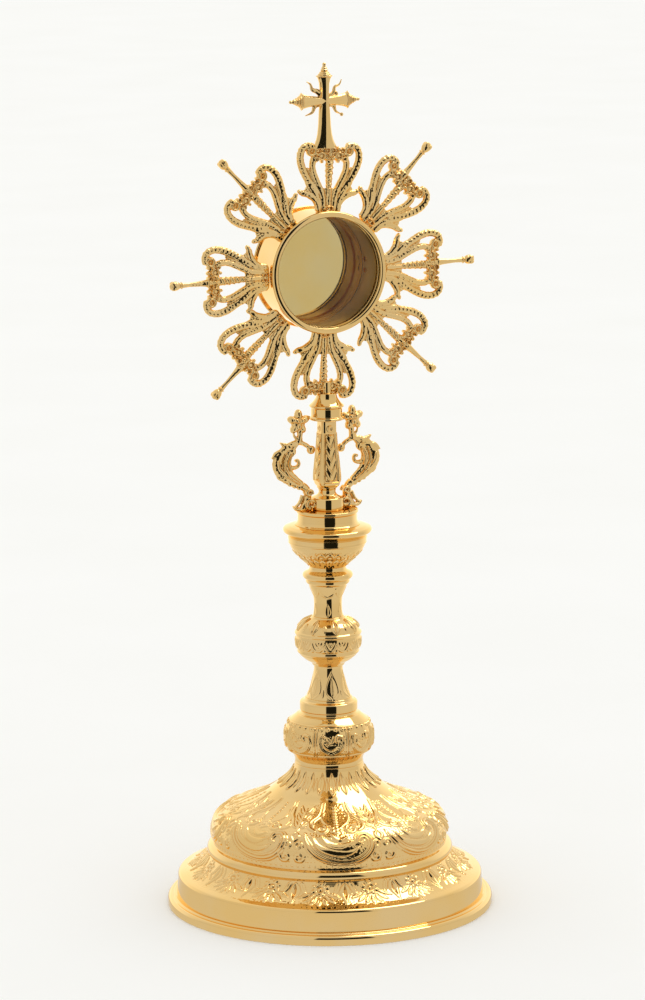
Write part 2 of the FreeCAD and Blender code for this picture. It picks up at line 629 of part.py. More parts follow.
def turn_catch():
    """Turn button, hanging clear of the door at rest; turned a quarter inwards it bars the door's edge."""
    front = LUG_FRONT + LUG_DEPTH + CATCH_GAP
    half, length = 1.25, 5.4
    bar = Outline(CATCH_X - half, HEAD_Z).arc((CATCH_X, HEAD_Z + half), (CATCH_X + half, HEAD_Z))
    bar.curve((CATCH_X + 0.8, HEAD_Z - 2.4), (CATCH_X + 0.95, HEAD_Z - length + 1.0))
    bar.arc((CATCH_X, HEAD_Z - length), (CATCH_X - 0.95, HEAD_Z - length + 1.0))
    bar.curve((CATCH_X - 0.8, HEAD_Z - 2.4), (CATCH_X - half, HEAD_Z))
    face = bar.face()
    face.translate(Vector(0, front, 0))
    bore_radius = CATCH_SCREW_RADIUS + PIN_CLEARANCE
    bore = Part.makeCylinder(bore_radius, 4, Vector(CATCH_X, front - 1, HEAD_Z), AXIS_Y)
    return face.extrude(Vector(0, CATCH_THICKNESS, 0)).cut(bore)


# ---- build ----
PLACES = [
    "top", "upper_right", "right", "lower_right", "bottom", "lower_left", "left", "upper_left",
]


def build():
    parts = {
        maker.__name__: maker()
        for maker in (
            foot_rim, foot_shell, clamp_washer, rod_nut, tie_rod, neck_collar, lower_knop, knop_ring,
            lower_vase, middle_node, upper_vase, disc_collar, cup, cup_collar, bracket_plinth,
            baluster, baluster_cap, head_stud, cross, case_drum, bezel_ring, front_glass,
            glass_retainer, back_door, case_hinge_leaf, door_hinge_leaf, hinge_pin, case_rivets,
            door_rivets, catch_lug, catch_screw, turn_catch,
        )
    }
    bracket = scroll_bracket()
    for name, shape in (("right", bracket), ("left", mirrored(bracket))):
        joined = shape.cut(parts["baluster"]).cut(parts["baluster_cap"])
        parts["scroll_bracket_" + name] = joined.cut(parts["bracket_plinth"]).cut(parts["cup_collar"])
    casting, rod = palmette(), ray()
    for i, place in enumerate(PLACES):
        turn = 360.0 / PALMETTE_COUNT * i
        leaf = place_in_head(casting, turn)
        if place == "bottom":
            leaf = leaf.cut(parts["baluster_cap"]).cut(parts["head_stud"])
        parts["palmette_" + place] = leaf
        if place not in ("top", "bottom"):
            parts["ray_" + place] = place_in_head(rod, turn)
    parts["cross"] = parts["cross"].cut(parts["palmette_top"])
    for name, shape in parts.items():
        export(name, shape)
        sound = shape.isValid() and all(solid.isClosed() for solid in shape.Solids)
        print(name, len(shape.Solids), "solid(s)", "sound" if sound else "BROKEN", round(shape.Volume, 1))


build()
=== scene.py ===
"""Looks of the gilt monstrance: chased sheet, turned rings, castings, glass, studio floor, light and camera."""

import json
import math

import bpy
import numpy as np
from mathutils import Matrix, Vector, noise

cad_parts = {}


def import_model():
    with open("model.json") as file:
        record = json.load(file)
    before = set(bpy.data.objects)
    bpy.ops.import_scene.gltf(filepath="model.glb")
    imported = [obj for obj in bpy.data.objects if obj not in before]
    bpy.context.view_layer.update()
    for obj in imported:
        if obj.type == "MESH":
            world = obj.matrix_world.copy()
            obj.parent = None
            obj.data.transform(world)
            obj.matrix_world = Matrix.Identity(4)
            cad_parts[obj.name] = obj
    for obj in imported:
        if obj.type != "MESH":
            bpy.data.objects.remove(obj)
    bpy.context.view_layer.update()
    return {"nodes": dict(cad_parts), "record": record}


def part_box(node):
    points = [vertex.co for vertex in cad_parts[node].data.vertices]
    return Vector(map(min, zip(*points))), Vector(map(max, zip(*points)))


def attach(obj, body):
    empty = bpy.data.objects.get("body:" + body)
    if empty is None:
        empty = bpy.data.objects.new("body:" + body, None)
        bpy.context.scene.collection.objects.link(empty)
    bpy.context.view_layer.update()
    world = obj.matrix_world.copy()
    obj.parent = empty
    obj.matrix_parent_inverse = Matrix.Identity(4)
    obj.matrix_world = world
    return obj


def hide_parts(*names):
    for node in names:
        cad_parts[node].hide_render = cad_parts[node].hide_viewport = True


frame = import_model()

MM = 0.001
SEED = 7
BODY_OF = {node: body for body, nodes in frame["record"]["behaviour"]["bodies"].items() for node in nodes}

CAMERA_AZIMUTH = -23.3
FRONT_OF_PATTERN = CAMERA_AZIMUTH + 4.0

ROD_BORE = 2.7
FINE = 0.05
ROW_STEP = 0.3
CORNER_SOFTNESS = 0.13

case_low, case_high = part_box("case_drum")
HEAD_Z = (case_low.z + case_high.z) / 2 / MM
CASE_FRONT = case_low.y / MM


# ---------------------------------------------------------------- curves and outlines
def spline(points, step):
    """A smooth curve through the points, as evenly spaced points about one step apart."""
    points = np.asarray(points, float)
    padded = np.vstack([2 * points[0] - points[1], points, 2 * points[-1] - points[-2]])
    t = np.linspace(0, 1, 20, endpoint=False)[:, None]
    dense = [
        0.5 * (2 * b + (c - a) * t + (2 * a - 5 * b + 4 * c - d) * t**2 + (3 * b - a - 3 * c + d) * t**3)
        for a, b, c, d in zip(padded[:-3], padded[1:-2], padded[2:-1], padded[3:])
    ]
    return evenly(np.vstack(dense + [points[-1:]]), step)


def evenly(points, step):
    """The same way, walked in equal steps."""
    run = lengths(points)
    count = max(2, int(round(run[-1] / step)) + 1)
    at = np.linspace(0, run[-1], count)
    return np.stack([np.interp(at, run, points[:, k]) for k in range(points.shape[1])], axis=1)


def lengths(points):
    return np.concatenate([[0], np.cumsum(np.linalg.norm(np.diff(points, axis=0), axis=1))])


def spiral(x, y, radius, end_radius, start_deg, turn_deg):
    """Points of a spiral round (x, y), from its outer end inwards."""
    t = np.linspace(0, 1, max(5, int(abs(turn_deg) / 22)))
    angle = np.radians(start_deg + turn_deg * t)
    reach = radius + (end_radius - radius) * t
    return list(zip(x + reach * np.cos(angle), y + reach * np.sin(angle)))


class Outline:
    """A turned profile in millimetres: (radius, height over a node's lowest point)."""

    def __init__(self, r, z):
        self.points = [(r, z)]
        self.marks = {}

    def mark(self, name):
        self.marks[name] = len(self.points) - 1
        return self

    def line(self, *ends):
        self.points += list(ends)
        return self

    def curve(self, *ends):
        self.points += [tuple(p) for p in spline([self.points[-1], *ends], FINE * 4)[1:]]
        return self

    def arc(self, middle, end):
        """A round stretch through the middle point, as in a circle through three points."""
        (ax, ay), (bx, by), (cx, cy) = self.points[-1], middle, end
        d = 2 * (ax * (by - cy) + bx * (cy - ay) + cx * (ay - by))
        a2, b2, c2 = ax * ax + ay * ay, bx * bx + by * by, cx * cx + cy * cy
        x = (a2 * (by - cy) + b2 * (cy - ay) + c2 * (ay - by)) / d
        y = (a2 * (cx - bx) + b2 * (ax - cx) + c2 * (bx - ax)) / d
        angles = np.unwrap([math.atan2(ay - y, ax - x), math.atan2(by - y, bx - x), math.atan2(cy - y, cx - x)])
        radius = math.hypot(ax - x, ay - y)
        sweep = np.linspace(angles[0], angles[2], 14)[1:]
        self.points += list(zip(x + radius * np.cos(sweep), y + radius * np.sin(sweep)))
        return self

    def rows(self):
        """Rows (radius, height, normal, length) with softly rounded corners, closer where the profile bends."""
        points = np.asarray(self.points, float)
        run = lengths(points)
        fine = evenly(points, FINE)
        reach = int(3 * CORNER_SOFTNESS / FINE)
        weight = np.exp(-0.5 * (np.arange(-reach, reach + 1) * FINE / CORNER_SOFTNESS) ** 2)
        padded = np.vstack([2 * fine[0] - fine[reach:0:-1], fine, 2 * fine[-1] - fine[-2:-reach - 2:-1]])
        soft = np.stack([np.convolve(padded[:, k], weight / weight.sum(), "valid") for k in (0, 1)], axis=1)
        slope = np.gradient(soft, axis=0)
        bend = np.abs(np.gradient(np.unwrap(np.arctan2(slope[:, 1], slope[:, 0]))))
        need = np.concatenate([[0], np.cumsum(FINE / ROW_STEP + bend[1:] / math.radians(9))])
        at = np.interp(np.linspace(0, need[-1], int(need[-1]) + 2), need, np.arange(len(need)))
        index = np.arange(len(soft))
        pick = [np.interp(at, index, values) for values in (*soft.T, *slope.T, index * run[-1] / (len(soft) - 1))]
        size = np.maximum(np.hypot(pick[2], pick[3]), 1e-9)
        marks = {name: int(np.argmin(np.abs(pick[4] - run[i]))) for name, i in self.marks.items()}
        return pick[0], pick[1], pick[3] / size, -pick[2] / size, pick[4], marks


# ---------------------------------------------------------------- chased relief
class Relief:
    """Height map over one repeat of a chased pattern: x mm across at a given radius, y mm up the profile."""

    def __init__(self, repeats, columns, along, radius):
        self.repeats = repeats
        self.half = math.pi / repeats
        width = columns // repeats
        self.angle = (np.arange(width) / width * 2 - 1) * self.half
        self.along = along
        self.radius = radius
        self.height = np.zeros((len(along), width))
        self.covered = np.zeros_like(self.height)

    def _rows(self, heights, reach):
        near = np.nonzero((self.along > min(heights) - reach) & (self.along < max(heights) + reach))[0]
        return slice(near[0], near[-1] + 1) if len(near) else None

    def _near(self, points, reference, rows, reach):
        """Distance to a polyline, the share of its length and the side of it, on the rows given."""
        radius = self.radius[rows][:, None]
        across, along = radius * self.angle[None, :], self.along[rows][:, None]
        best = np.full(across.shape, 1e9)
        share, side = np.zeros_like(best), np.zeros_like(best)
        points = np.asarray(points, float)
        angles, heights = points[:, 0] / reference, points[:, 1]
        limit = self.half + reach / radius.min()
        for turn in (-2 * self.half, 0, 2 * self.half):
            if angles.max() + turn < -limit or angles.min() + turn > limit:
                continue
            for i in range(len(points) - 1):
                ax, bx = (angles[i] + turn) * radius, (angles[i + 1] + turn) * radius
                dx, dy = bx - ax, heights[i + 1] - heights[i]
                t = np.clip(((across - ax) * dx + (along - heights[i]) * dy) / (dx * dx + dy * dy + 1e-12), 0, 1)
                ex, ey = across - ax - t * dx, along - heights[i] - t * dy
                d = np.hypot(ex, ey)
                closer = d < best
                best = np.where(closer, d, best)
                share = np.where(closer, (i + t) / (len(points) - 1), share)
                side = np.where(closer, np.sign(ex * dy - ey * dx), side)
        return best, share, side

    def _stroke(self, points, reference, width, taper):
        if len(points) > 2:
            points = spline(points, 0.7)
        rows = self._rows([p[1] for p in points], width + 0.6)
        if rows is None:
            return None, None, None
        distance, share, side = self._near(points, reference, rows, width + 0.6)
        size = np.full_like(share, width)
        for end, part in zip(taper, (share, 1 - share)):
            if end:
                size = size * np.clip(part / end, 0.05, 1) ** 0.6
        return rows, distance / size, side

    def _raise(self, rows, body, u, height):
        self.height[rows] = np.where(u < 1, np.maximum(self.height[rows], height * body), self.height[rows])
        self.covered[rows] = np.maximum(self.covered[rows], np.clip((1.3 - u) / 0.3, 0, 1))

    def ridge(self, points, reference, width, height, taper=(0.0, 0.0), kind="round"):
        """A raised stroke; width is half its breadth. A ribbon has a rim along both edges, a leaf a vein."""
        rows, u, side = self._stroke(points, reference, width, taper)
        if rows is None:
            return self
        edge = np.clip((1 - u) / 0.2, 0, 1)
        bodies = {
            "round": np.sqrt(np.clip(1 - u * u, 0, 1)),
            "ribbon": edge * (0.62 + 0.38 * np.cos(2 * math.pi * u)),
            "leaf": edge * (0.4 + 0.6 * np.sin(math.pi * np.minimum(u, 1) / 1.3)),
            "slope": edge * (0.25 + 0.75 * (0.5 + 0.5 * side * u)),
        }
        self._raise(rows, bodies[kind], u, height)
        return self

    def groove(self, points, reference, width, depth, taper=(0.25, 0.25)):
        """An incised line; width is half its breadth."""
        rows, u, _ = self._stroke(points, reference, width, taper)
        if rows is not None:
            self.height[rows] -= depth * np.clip(1 - u, 0, 1)
            self.covered[rows] = np.maximum(self.covered[rows], (u < 1) * 1.0)
        return self

    def bead(self, x, y, reference, radius, height):
        rows = self._rows([y], radius + 0.5)
        if rows is not None:
            distance, _, _ = self._near([(x, y), (x + FINE, y)], reference, rows, radius + 0.5)
            u = distance / radius
            self._raise(rows, np.sqrt(np.clip(1 - u * u, 0, 1)), u, height)
        return self

    def beads(self, points, reference, spacing, radius, height):
        for x, y in spline(points, spacing) if len(points) > 2 else evenly(np.array(points, float), spacing):
            self.bead(x, y, reference, radius, height)
        return self

    def fan(self, x, y, reference, reach, start_deg, end_deg, blades, width, height, bend_deg=0.0):
        """Leaf blades that spread from a point."""
        for angle in np.linspace(start_deg, end_deg, blades):
            way = []
            for out in (0.12, 0.55, 1.0):
                a = math.radians(angle + bend_deg * out * out)
                way.append((x + reach * out * math.cos(a), y + reach * out * math.sin(a)))
            self.ridge(way, reference, width, height, (0.3, 0.6), "leaf")
        return self

    def matting(self, low, high, reference, spacing, radius, depth):
        """Punched dots over the bare ground between two heights."""
        rng = np.random.default_rng(SEED)
        half = self.half * reference
        dots = np.zeros_like(self.height)
        for i in range(int((high - low) / spacing)):
            for x in np.arange(-half, half, spacing):
                px = x + (i % 2) * spacing / 2 + rng.uniform(-0.3, 0.3) * spacing
                py = low + (i + 0.5) * spacing + rng.uniform(-0.3, 0.3) * spacing
                rows = self._rows([py], radius)
                if rows is not None:
                    distance, _, _ = self._near([(px, py), (px + FINE, py)], reference, rows, radius)
                    dots[rows] = np.maximum(dots[rows], np.clip(1 - (distance / radius) ** 2, 0, 1))
        self.height -= depth * dots * (1 - self.covered)
        return self

    def all_round(self):
        return np.tile(self.height, (1, self.repeats))


# ---------------------------------------------------------------- meshes
def mesh_from(name, vertices, faces):
    """A smooth mesh from arrays: vertices in millimetres, faces all with the same number of corners."""
    mesh = bpy.data.meshes.new(name)
    faces = np.asarray(faces, np.int32)
    mesh.vertices.add(len(vertices))
    mesh.vertices.foreach_set("co", (np.asarray(vertices) * MM).astype(np.float32).ravel())
    mesh.loops.add(faces.size)
    mesh.loops.foreach_set("vertex_index", faces.ravel())
    mesh.polygons.add(len(faces))
    mesh.polygons.foreach_set("loop_start", np.arange(0, faces.size, faces.shape[1], dtype=np.int32))
    mesh.polygons.foreach_set("use_smooth", np.ones(len(faces), bool))
    mesh.update(calc_edges=True)
    return mesh


def ring_faces(rows, columns, closed=True):
    """Quads of a grid whose columns run round; its rows close on themselves too when the piece is hollow."""
    i, j = np.meshgrid(np.arange(rows if closed else rows - 1), np.arange(columns), indexing="ij")
    k, l = (i + 1) % rows, (j + 1) % columns
    quads = np.stack([i * columns + j, i * columns + l, k * columns + l, k * columns + j], axis=-1)
    return quads.reshape(-1, 4)


def hand_wobble(rows, columns, amount, seed):
    """The slight unevenness of hand-finished metal, in millimetres."""
    rng = np.random.default_rng(SEED + seed)
    angle = np.arange(columns) / columns * 2 * math.pi
    along = np.linspace(0, 1, rows)[:, None]
    total = np.zeros((rows, columns))
    for waves in (2, 3, 5, 8, 13):
        phase, lean = rng.uniform(0, 2 * math.pi), rng.uniform(-2, 2)
        total += np.sin(waves * angle + phase + along * lean) / waves
    return total * amount


def piece(name, mesh, material, *nodes):
    """Puts a finished mesh in the scene in place of its CAD nodes, on their body, in its own finish."""
    obj = bpy.data.objects.new(name, mesh)
    bpy.context.scene.collection.objects.link(obj)
    mesh.materials.clear()
    mesh.materials.append(FINISHES[material])
    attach(obj, BODY_OF[nodes[0]])
    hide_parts(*nodes)
    return obj


def turned(node, outline, columns, inner, material="gilt_polished", reliefs=(), facing=0.0, wobble=0.03,
           about_case=False):
    """A turned piece: outline up the outside, relief between its marks, and plain rows back down the inside."""
    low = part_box(node)[0]
    r, z, out, up, run, marks = outline.rows()
    height = hand_wobble(len(r), columns, wobble, len(node))
    height *= np.minimum(1, np.minimum(run, run[-1] - run) / 1.0)[:, None]
    for first, last, draw, *rest in reliefs:
        rows = slice(marks[first], marks[last] + 1)
        height[rows] += draw(run[rows] - run[rows.start], r[rows], columns, *rest)
    inside = np.array(inner, float)
    r = np.vstack([r[:, None] + height * out[:, None], np.repeat(inside[:, 0:1], columns, axis=1)])
    underside = min(z.min(), inside[:, 1].min())
    z = np.vstack([z[:, None] + height * up[:, None], np.repeat(inside[:, 1:2], columns, axis=1)])
    z = np.maximum(z, underside)
    angle = math.radians(facing - 90) + np.arange(columns) / columns * 2 * math.pi
    x, y = r * np.cos(angle), r * np.sin(angle)
    if about_case:
        vertices = np.stack([x, z + CASE_FRONT, HEAD_Z - y], axis=-1)
    else:
        vertices = np.stack([x, y, z + low.z / MM], axis=-1)
    mesh = mesh_from(node + "_turned", vertices.reshape(-1, 3), ring_faces(len(r), columns))
    return piece(node + "_turned", mesh, material, node)


def bored(top):
    """The inside of a stem piece: straight down the bore from its top."""
    return [(ROD_BORE, top), (ROD_BORE, 0.0)]


def facing_cell(repeats):
    """Where the columns start, so that the middle of a repeat faces the front of the pattern."""
    return FRONT_OF_PATTERN - 180.0 / repeats


class Casting:
    """Tubes, leaves and beads melted into one cast piece, drawn in millimetres as (across, up) at a depth y."""

    def __init__(self):
        self.vertices, self.faces, self.count = [], [], 0

    def _add(self, vertices, faces):
        self.vertices.append(np.asarray(vertices, float))
        self.faces += [[int(v) + self.count for v in face] for face in faces]
        self.count += len(vertices)

    def tube(self, points, width, depth, kind="round", y=0.0, sides=14):
        """A swept rod; width and depth are half its size, as numbers or (share of length, size) pairs."""
        points = np.array([(p[0], p[1], p[2] if len(p) > 2 else y) for p in points], float)
        way = spline(points, 0.4)
        share = np.linspace(0, 1, len(way))
        width, depth = (
            np.full(len(way), size) if np.isscalar(size) else np.interp(share, *zip(*size))
            for size in (width, depth)
        )
        tangent = np.gradient(way[:, :2], axis=0)
        tangent /= np.maximum(np.linalg.norm(tangent, axis=1), 1e-9)[:, None]
        angle = np.arange(sides) / sides * 2 * math.pi
        c, s = np.cos(angle), np.sin(angle)
        crease = {
            "round": np.ones(sides),
            "leaf": 0.45 + 0.55 * np.minimum(1, np.abs(c) / 0.45),
            "ribbon": 0.62 + 0.38 * (np.abs(c) > 0.5),
            "ridge": 0.5 + 0.5 * np.clip(1 - np.abs(c) * 1.1, 0, 1),
        }[kind]
        across, out = width[:, None] * c, depth[:, None] * s * crease
        x = way[:, 0:1] + across * tangent[:, 1:2]
        z = way[:, 1:2] - across * tangent[:, 0:1]
        ring = np.stack([x, way[:, 2:3] + out, z], axis=-1).reshape(-1, 3)
        caps = way[[0, -1]][:, [0, 2, 1]]
        first, last, low = len(ring), len(ring) + 1, (len(way) - 1) * sides
        faces = list(ring_faces(len(way), sides, closed=False))
        faces += [(first, (j + 1) % sides, j) for j in range(sides)]
        faces += [(last, low + j, low + (j + 1) % sides) for j in range(sides)]
        self._add(np.vstack([ring, caps]), faces)
        return self

    def bead(self, x, z, across, up, depth, turn_deg=0.0, y=0.0):
        """An ellipsoid, turned in the plane of the casting."""
        bands, sides = 7, 12
        a, b = np.meshgrid(np.arange(1, bands + 1) / (bands + 1) * math.pi, np.arange(sides) / sides * 2 * math.pi,
                           indexing="ij")
        u = np.append(across * np.sin(a) * np.cos(b), [0, 0])
        v = np.append(up * np.cos(a), [up, -up])
        w = np.append(depth * np.sin(a) * np.sin(b), [0, 0])
        c, s = math.cos(math.radians(turn_deg)), math.sin(math.radians(turn_deg))
        top, bottom, low = bands * sides, bands * sides + 1, (bands - 1) * sides
        faces = list(ring_faces(bands, sides, closed=False)[:, ::-1])
        faces += [(top, j, (j + 1) % sides) for j in range(sides)]
        faces += [(bottom, low + (j + 1) % sides, low + j) for j in range(sides)]
        self._add(np.stack([x + u * c - v * s, y + w, z + u * s + v * c], axis=1), faces)
        return self

    def mirror(self):
        """Adds the mirror image of everything so far, left to right."""
        vertices = np.vstack(self.vertices) * np.array([-1, 1, 1])
        faces = [[v + self.count for v in reversed(face)] for face in self.faces]
        self.vertices.append(vertices)
        self.faces += faces
        self.count += len(vertices)
        return self

    def melted(self, name, voxel, passes=3, uneven=1.0):
        """The parts as one skin, in millimetres: a voxel remesh, then a little smoothing."""
        mesh = bpy.data.meshes.new(name + "_parts")
        mesh.from_pydata(np.vstack(self.vertices).tolist(), [], self.faces)
        obj = bpy.data.objects.new(name + "_parts", mesh)
        bpy.context.scene.collection.objects.link(obj)
        remesh = obj.modifiers.new("skin", "REMESH")
        remesh.mode = "VOXEL"
        remesh.voxel_size = voxel
        soft = obj.modifiers.new("soft", "SMOOTH")
        soft.factor = 0.5
        soft.iterations = passes
        skin = bpy.data.meshes.new_from_object(obj.evaluated_get(bpy.context.evaluated_depsgraph_get()))
        bpy.data.objects.remove(obj)
        places, normals = np.empty((2, len(skin.vertices) * 3), np.float32)
        skin.vertices.foreach_get("co", places)
        skin.vertices.foreach_get("normal", normals)
        bumps = [uneven * sum(size * noise.noise(Vector(at) * scale) for scale, size in HAMMERED)
                 for at in places.reshape(-1, 3).tolist()]
        skin.vertices.foreach_set("co", places + normals * np.repeat(np.array(bumps, np.float32), 3))
        skin.update()
        skin.polygons.foreach_set("use_smooth", np.ones(len(skin.polygons), bool))
        return skin


def cast(node, skin, matrix, flipped=False):
    """A copy of a casting's skin in the frame, standing for one node."""
    mesh = skin.copy()
    mesh.name = node + "_cast"
    mesh.transform(matrix @ Matrix.Scale(MM, 4))
    if flipped:
        mesh.flip_normals()
    return piece(node + "_cast", mesh, "gilt_cast", node)


# ---------------------------------------------------------------- materials
class Nodes:
    """A node tree written as calls: each call adds one node and links or sets its inputs."""

    def __init__(self, tree):
        tree.nodes.clear()
        self.tree = tree

    def add(self, kind, inputs=None, **settings):
        node = self.tree.nodes.new("ShaderNode" + kind)
        for key, value in settings.items():
            setattr(node, key, value)
        for key, value in (inputs or {}).items():
            socket = node.inputs[key]
            if isinstance(value, bpy.types.NodeSocket):
                self.tree.links.new(value, socket)
            else:
                socket.default_value = value
        return node

    def math(self, operation, *values):
        return self.add("Math", dict(enumerate(values)), operation=operation).outputs[0]

    def ramp(self, value, *stops):
        """A colour ramp; stops are (position, grey) or (position, (r, g, b))."""
        node = self.add("ValToRGB", {0: value})
        elements = node.color_ramp.elements
        while len(elements) < len(stops):
            elements.new(0.5)
        for element, (position, colour) in zip(elements, stops):
            element.position = position
            grey = not isinstance(colour, tuple)
            element.color = (colour, colour, colour, 1) if grey else (*colour, 1)
        return node.outputs[0]

    def noise(self, vector, scale, detail=3.0, roughness=0.5):
        inputs = {"Vector": vector, "Scale": scale, "Detail": detail, "Roughness": roughness}
        return self.add("TexNoise", inputs).outputs["Fac"]

    def mix(self, share, a, b):
        return self.add("Mix", {0: share, 6: a, 7: b}, data_type="RGBA").outputs[2]


FINISHES = {}


def new_material(name):
    """A fresh procedural material, kept under the name of the slot that it fills."""
    material = bpy.data.materials.new(name + "_finish")
    material.use_nodes = True
    FINISHES[name] = material
    return material, Nodes(material.node_tree)


def gilt(name, roughness, grain, hollow_shade_and_dullness, lines=False, metal=1.0, warm=0.0):
    """Fire gilding: bright on the high parts, with painted shade that makes the hollows darker and redder, duller there
    too, and fine polishing marks.
    """
    _, n = new_material(name)
    place = n.add("TexCoord").outputs["Object"]
    edges = n.ramp(n.add("NewGeometry").outputs["Pointiness"], (0.44, 0.0), (0.497, 1.0))
    cloud = n.noise(place, 55.0)
    fresh, worn = (0.955, 0.635, 0.235, 1), (0.93, 0.66, 0.30, 1)
    deep = (0.80, 0.39, 0.10, 1)
    face = n.mix(n.ramp(cloud, (0.35, 0.0), (0.7, 1.0)), fresh, worn)
    # painted shade: the colour turns towards the deep red-brown in the hollows found by pointiness; the same mask also
    # adds roughness there
    hollow = n.math("MULTIPLY", n.math("SUBTRACT", 1.0, edges), hollow_shade_and_dullness)
    colour = n.mix(n.math("MAXIMUM", hollow, warm), face, deep)
    speck = n.noise(place, 900.0, 2.0)
    rough = n.math("ADD", n.math("MULTIPLY", cloud, roughness), n.math("MULTIPLY", speck, roughness * 0.8))
    rough = n.math("ADD", rough, n.math("MULTIPLY", hollow, 0.12))
    marks = place
    if lines:
        parts = n.add("SeparateXYZ", {0: place})
        x, y, z = parts.outputs
        ring = n.math("SQRT", n.math("ADD", n.math("MULTIPLY", x, x), n.math("MULTIPLY", y, y)))
        turn = n.math("MULTIPLY", n.math("ARCTAN2", y, x), 0.0006)
        marks = n.add("CombineXYZ", {0: ring, 1: z, 2: turn}).outputs[0]
    scratch = n.noise(marks, 2600.0 if lines else 1500.0, 3.0)
    bump = n.add("Bump", {"Strength": grain, "Distance": 0.00006, "Height": scratch})
    shader = n.add("BsdfPrincipled", {
        "Base Color": colour, "Metallic": metal, "Roughness": rough, "Normal": bump.outputs[0],
        "Specular Tint": (1.0, 0.93, 0.78, 1),
    })
    n.add("OutputMaterial", {0: shader.outputs[0]})


def clear_glass():
    """Thin flat glass: see-through, with a weak reflection and a faint smear of dust."""
    _, n = new_material("clear_glass")
    place = n.add("TexCoord").outputs["Object"]
    smear = n.ramp(n.noise(place, 70.0, 5.0, 0.7), (0.45, 0.0), (0.8, 1.0))
    fresnel = n.add("Fresnel", {"IOR": 1.22}).outputs[0]
    clear = n.add("BsdfTransparent", {"Color": (0.96, 0.985, 0.975, 1)}).outputs[0]
    shine = n.add("BsdfGlossy", {"Color": (1, 1, 1, 1), "Roughness": n.math("MULTIPLY", smear, 0.08)}).outputs[0]
    dust = n.add("BsdfDiffuse", {"Color": (0.9, 0.9, 0.88, 1)}).outputs[0]
    glass = n.add("MixShader", {0: fresnel, 1: clear, 2: shine}).outputs[0]
    dusty = n.add("MixShader", {0: n.math("MULTIPLY", smear, 0.015), 1: glass, 2: dust}).outputs[0]
    n.add("OutputMaterial", {0: dusty})


def rod_steel():
    """Plain turned steel of the hidden rod, nut and stud, a little oily."""
    _, n = new_material("rod_steel")
    place = n.add("TexCoord").outputs["Object"]
    cloud = n.noise(place, 160.0, 4.0)
    colour = n.ramp(cloud, (0.3, (0.30, 0.29, 0.28)), (0.7, (0.50, 0.49, 0.47)))
    bump = n.add("Bump", {"Strength": 0.3, "Distance": 0.0001, "Height": n.noise(place, 2200.0)})
    shader = n.add("BsdfPrincipled", {
        "Base Color": colour, "Metallic": 1.0, "Roughness": n.math("ADD", 0.2, n.math("MULTIPLY", cloud, 0.25)),
        "Normal": bump.outputs[0],
    })
    n.add("OutputMaterial", {0: shader.outputs[0]})


# ---------------------------------------------------------------- foot
DOME_CELLS = 8
BORDER_CELLS = 16
BORDER_SHIFT = 9
DOME_RADIUS = 46.0


def border_relief(along, radius, columns):
    """Sloping border: rosettes along its top, shell ribs fanning down from each, leaves between the shells."""
    relief = Relief(BORDER_CELLS, columns, along, radius)
    ref = 52.0
    half = math.pi / BORDER_CELLS * ref
    rise = 11.4
    relief.bead(0, rise, ref, 0.9, 0.55)
    relief.ridge([(1.9 * math.cos(a), rise + 1.75 * math.sin(a)) for a in np.radians(np.arange(0, 361, 30))],
                 ref, 0.5, 0.42)
    for a in np.radians(np.arange(20, 380, 45)):
        relief.bead(3.0 * math.cos(a), rise + 2.5 * math.sin(a), ref, 0.7, 0.4)
    for a in np.radians(np.linspace(-152, -28, 7)):
        near, far = 3.6, 8.4 + 0.9 * math.cos(a) ** 2
        relief.ridge([(near * math.cos(a), rise + near * math.sin(a)), (far * math.cos(a), rise + far * math.sin(a))],
                     ref, 0.85, 0.42, (0.5, 0.4), "leaf")
    for side in (-1, 1):
        relief.ridge([(side * half, 14.0), (side * (half - 1.3), 10.6), (side * (half - 0.5), 6.8), (side * half, 4.0)],
                     ref, 0.75, 0.45, (0.2, 0.5))
        relief.ridge([(side * (half - 2.2), 14.2), (side * (half - 3.6), 11.0), (side * (half - 4.6), 8.8)],
                     ref, 0.8, 0.4, (0.2, 0.5), "leaf")
    relief.groove([(half, 13.0), (half, 7.0)], ref, 0.7, 0.35)
    relief.matting(2.0, 13.8, ref, 1.2, 0.42, 0.04)
    return np.roll(relief.all_round(), BORDER_SHIFT, axis=1)


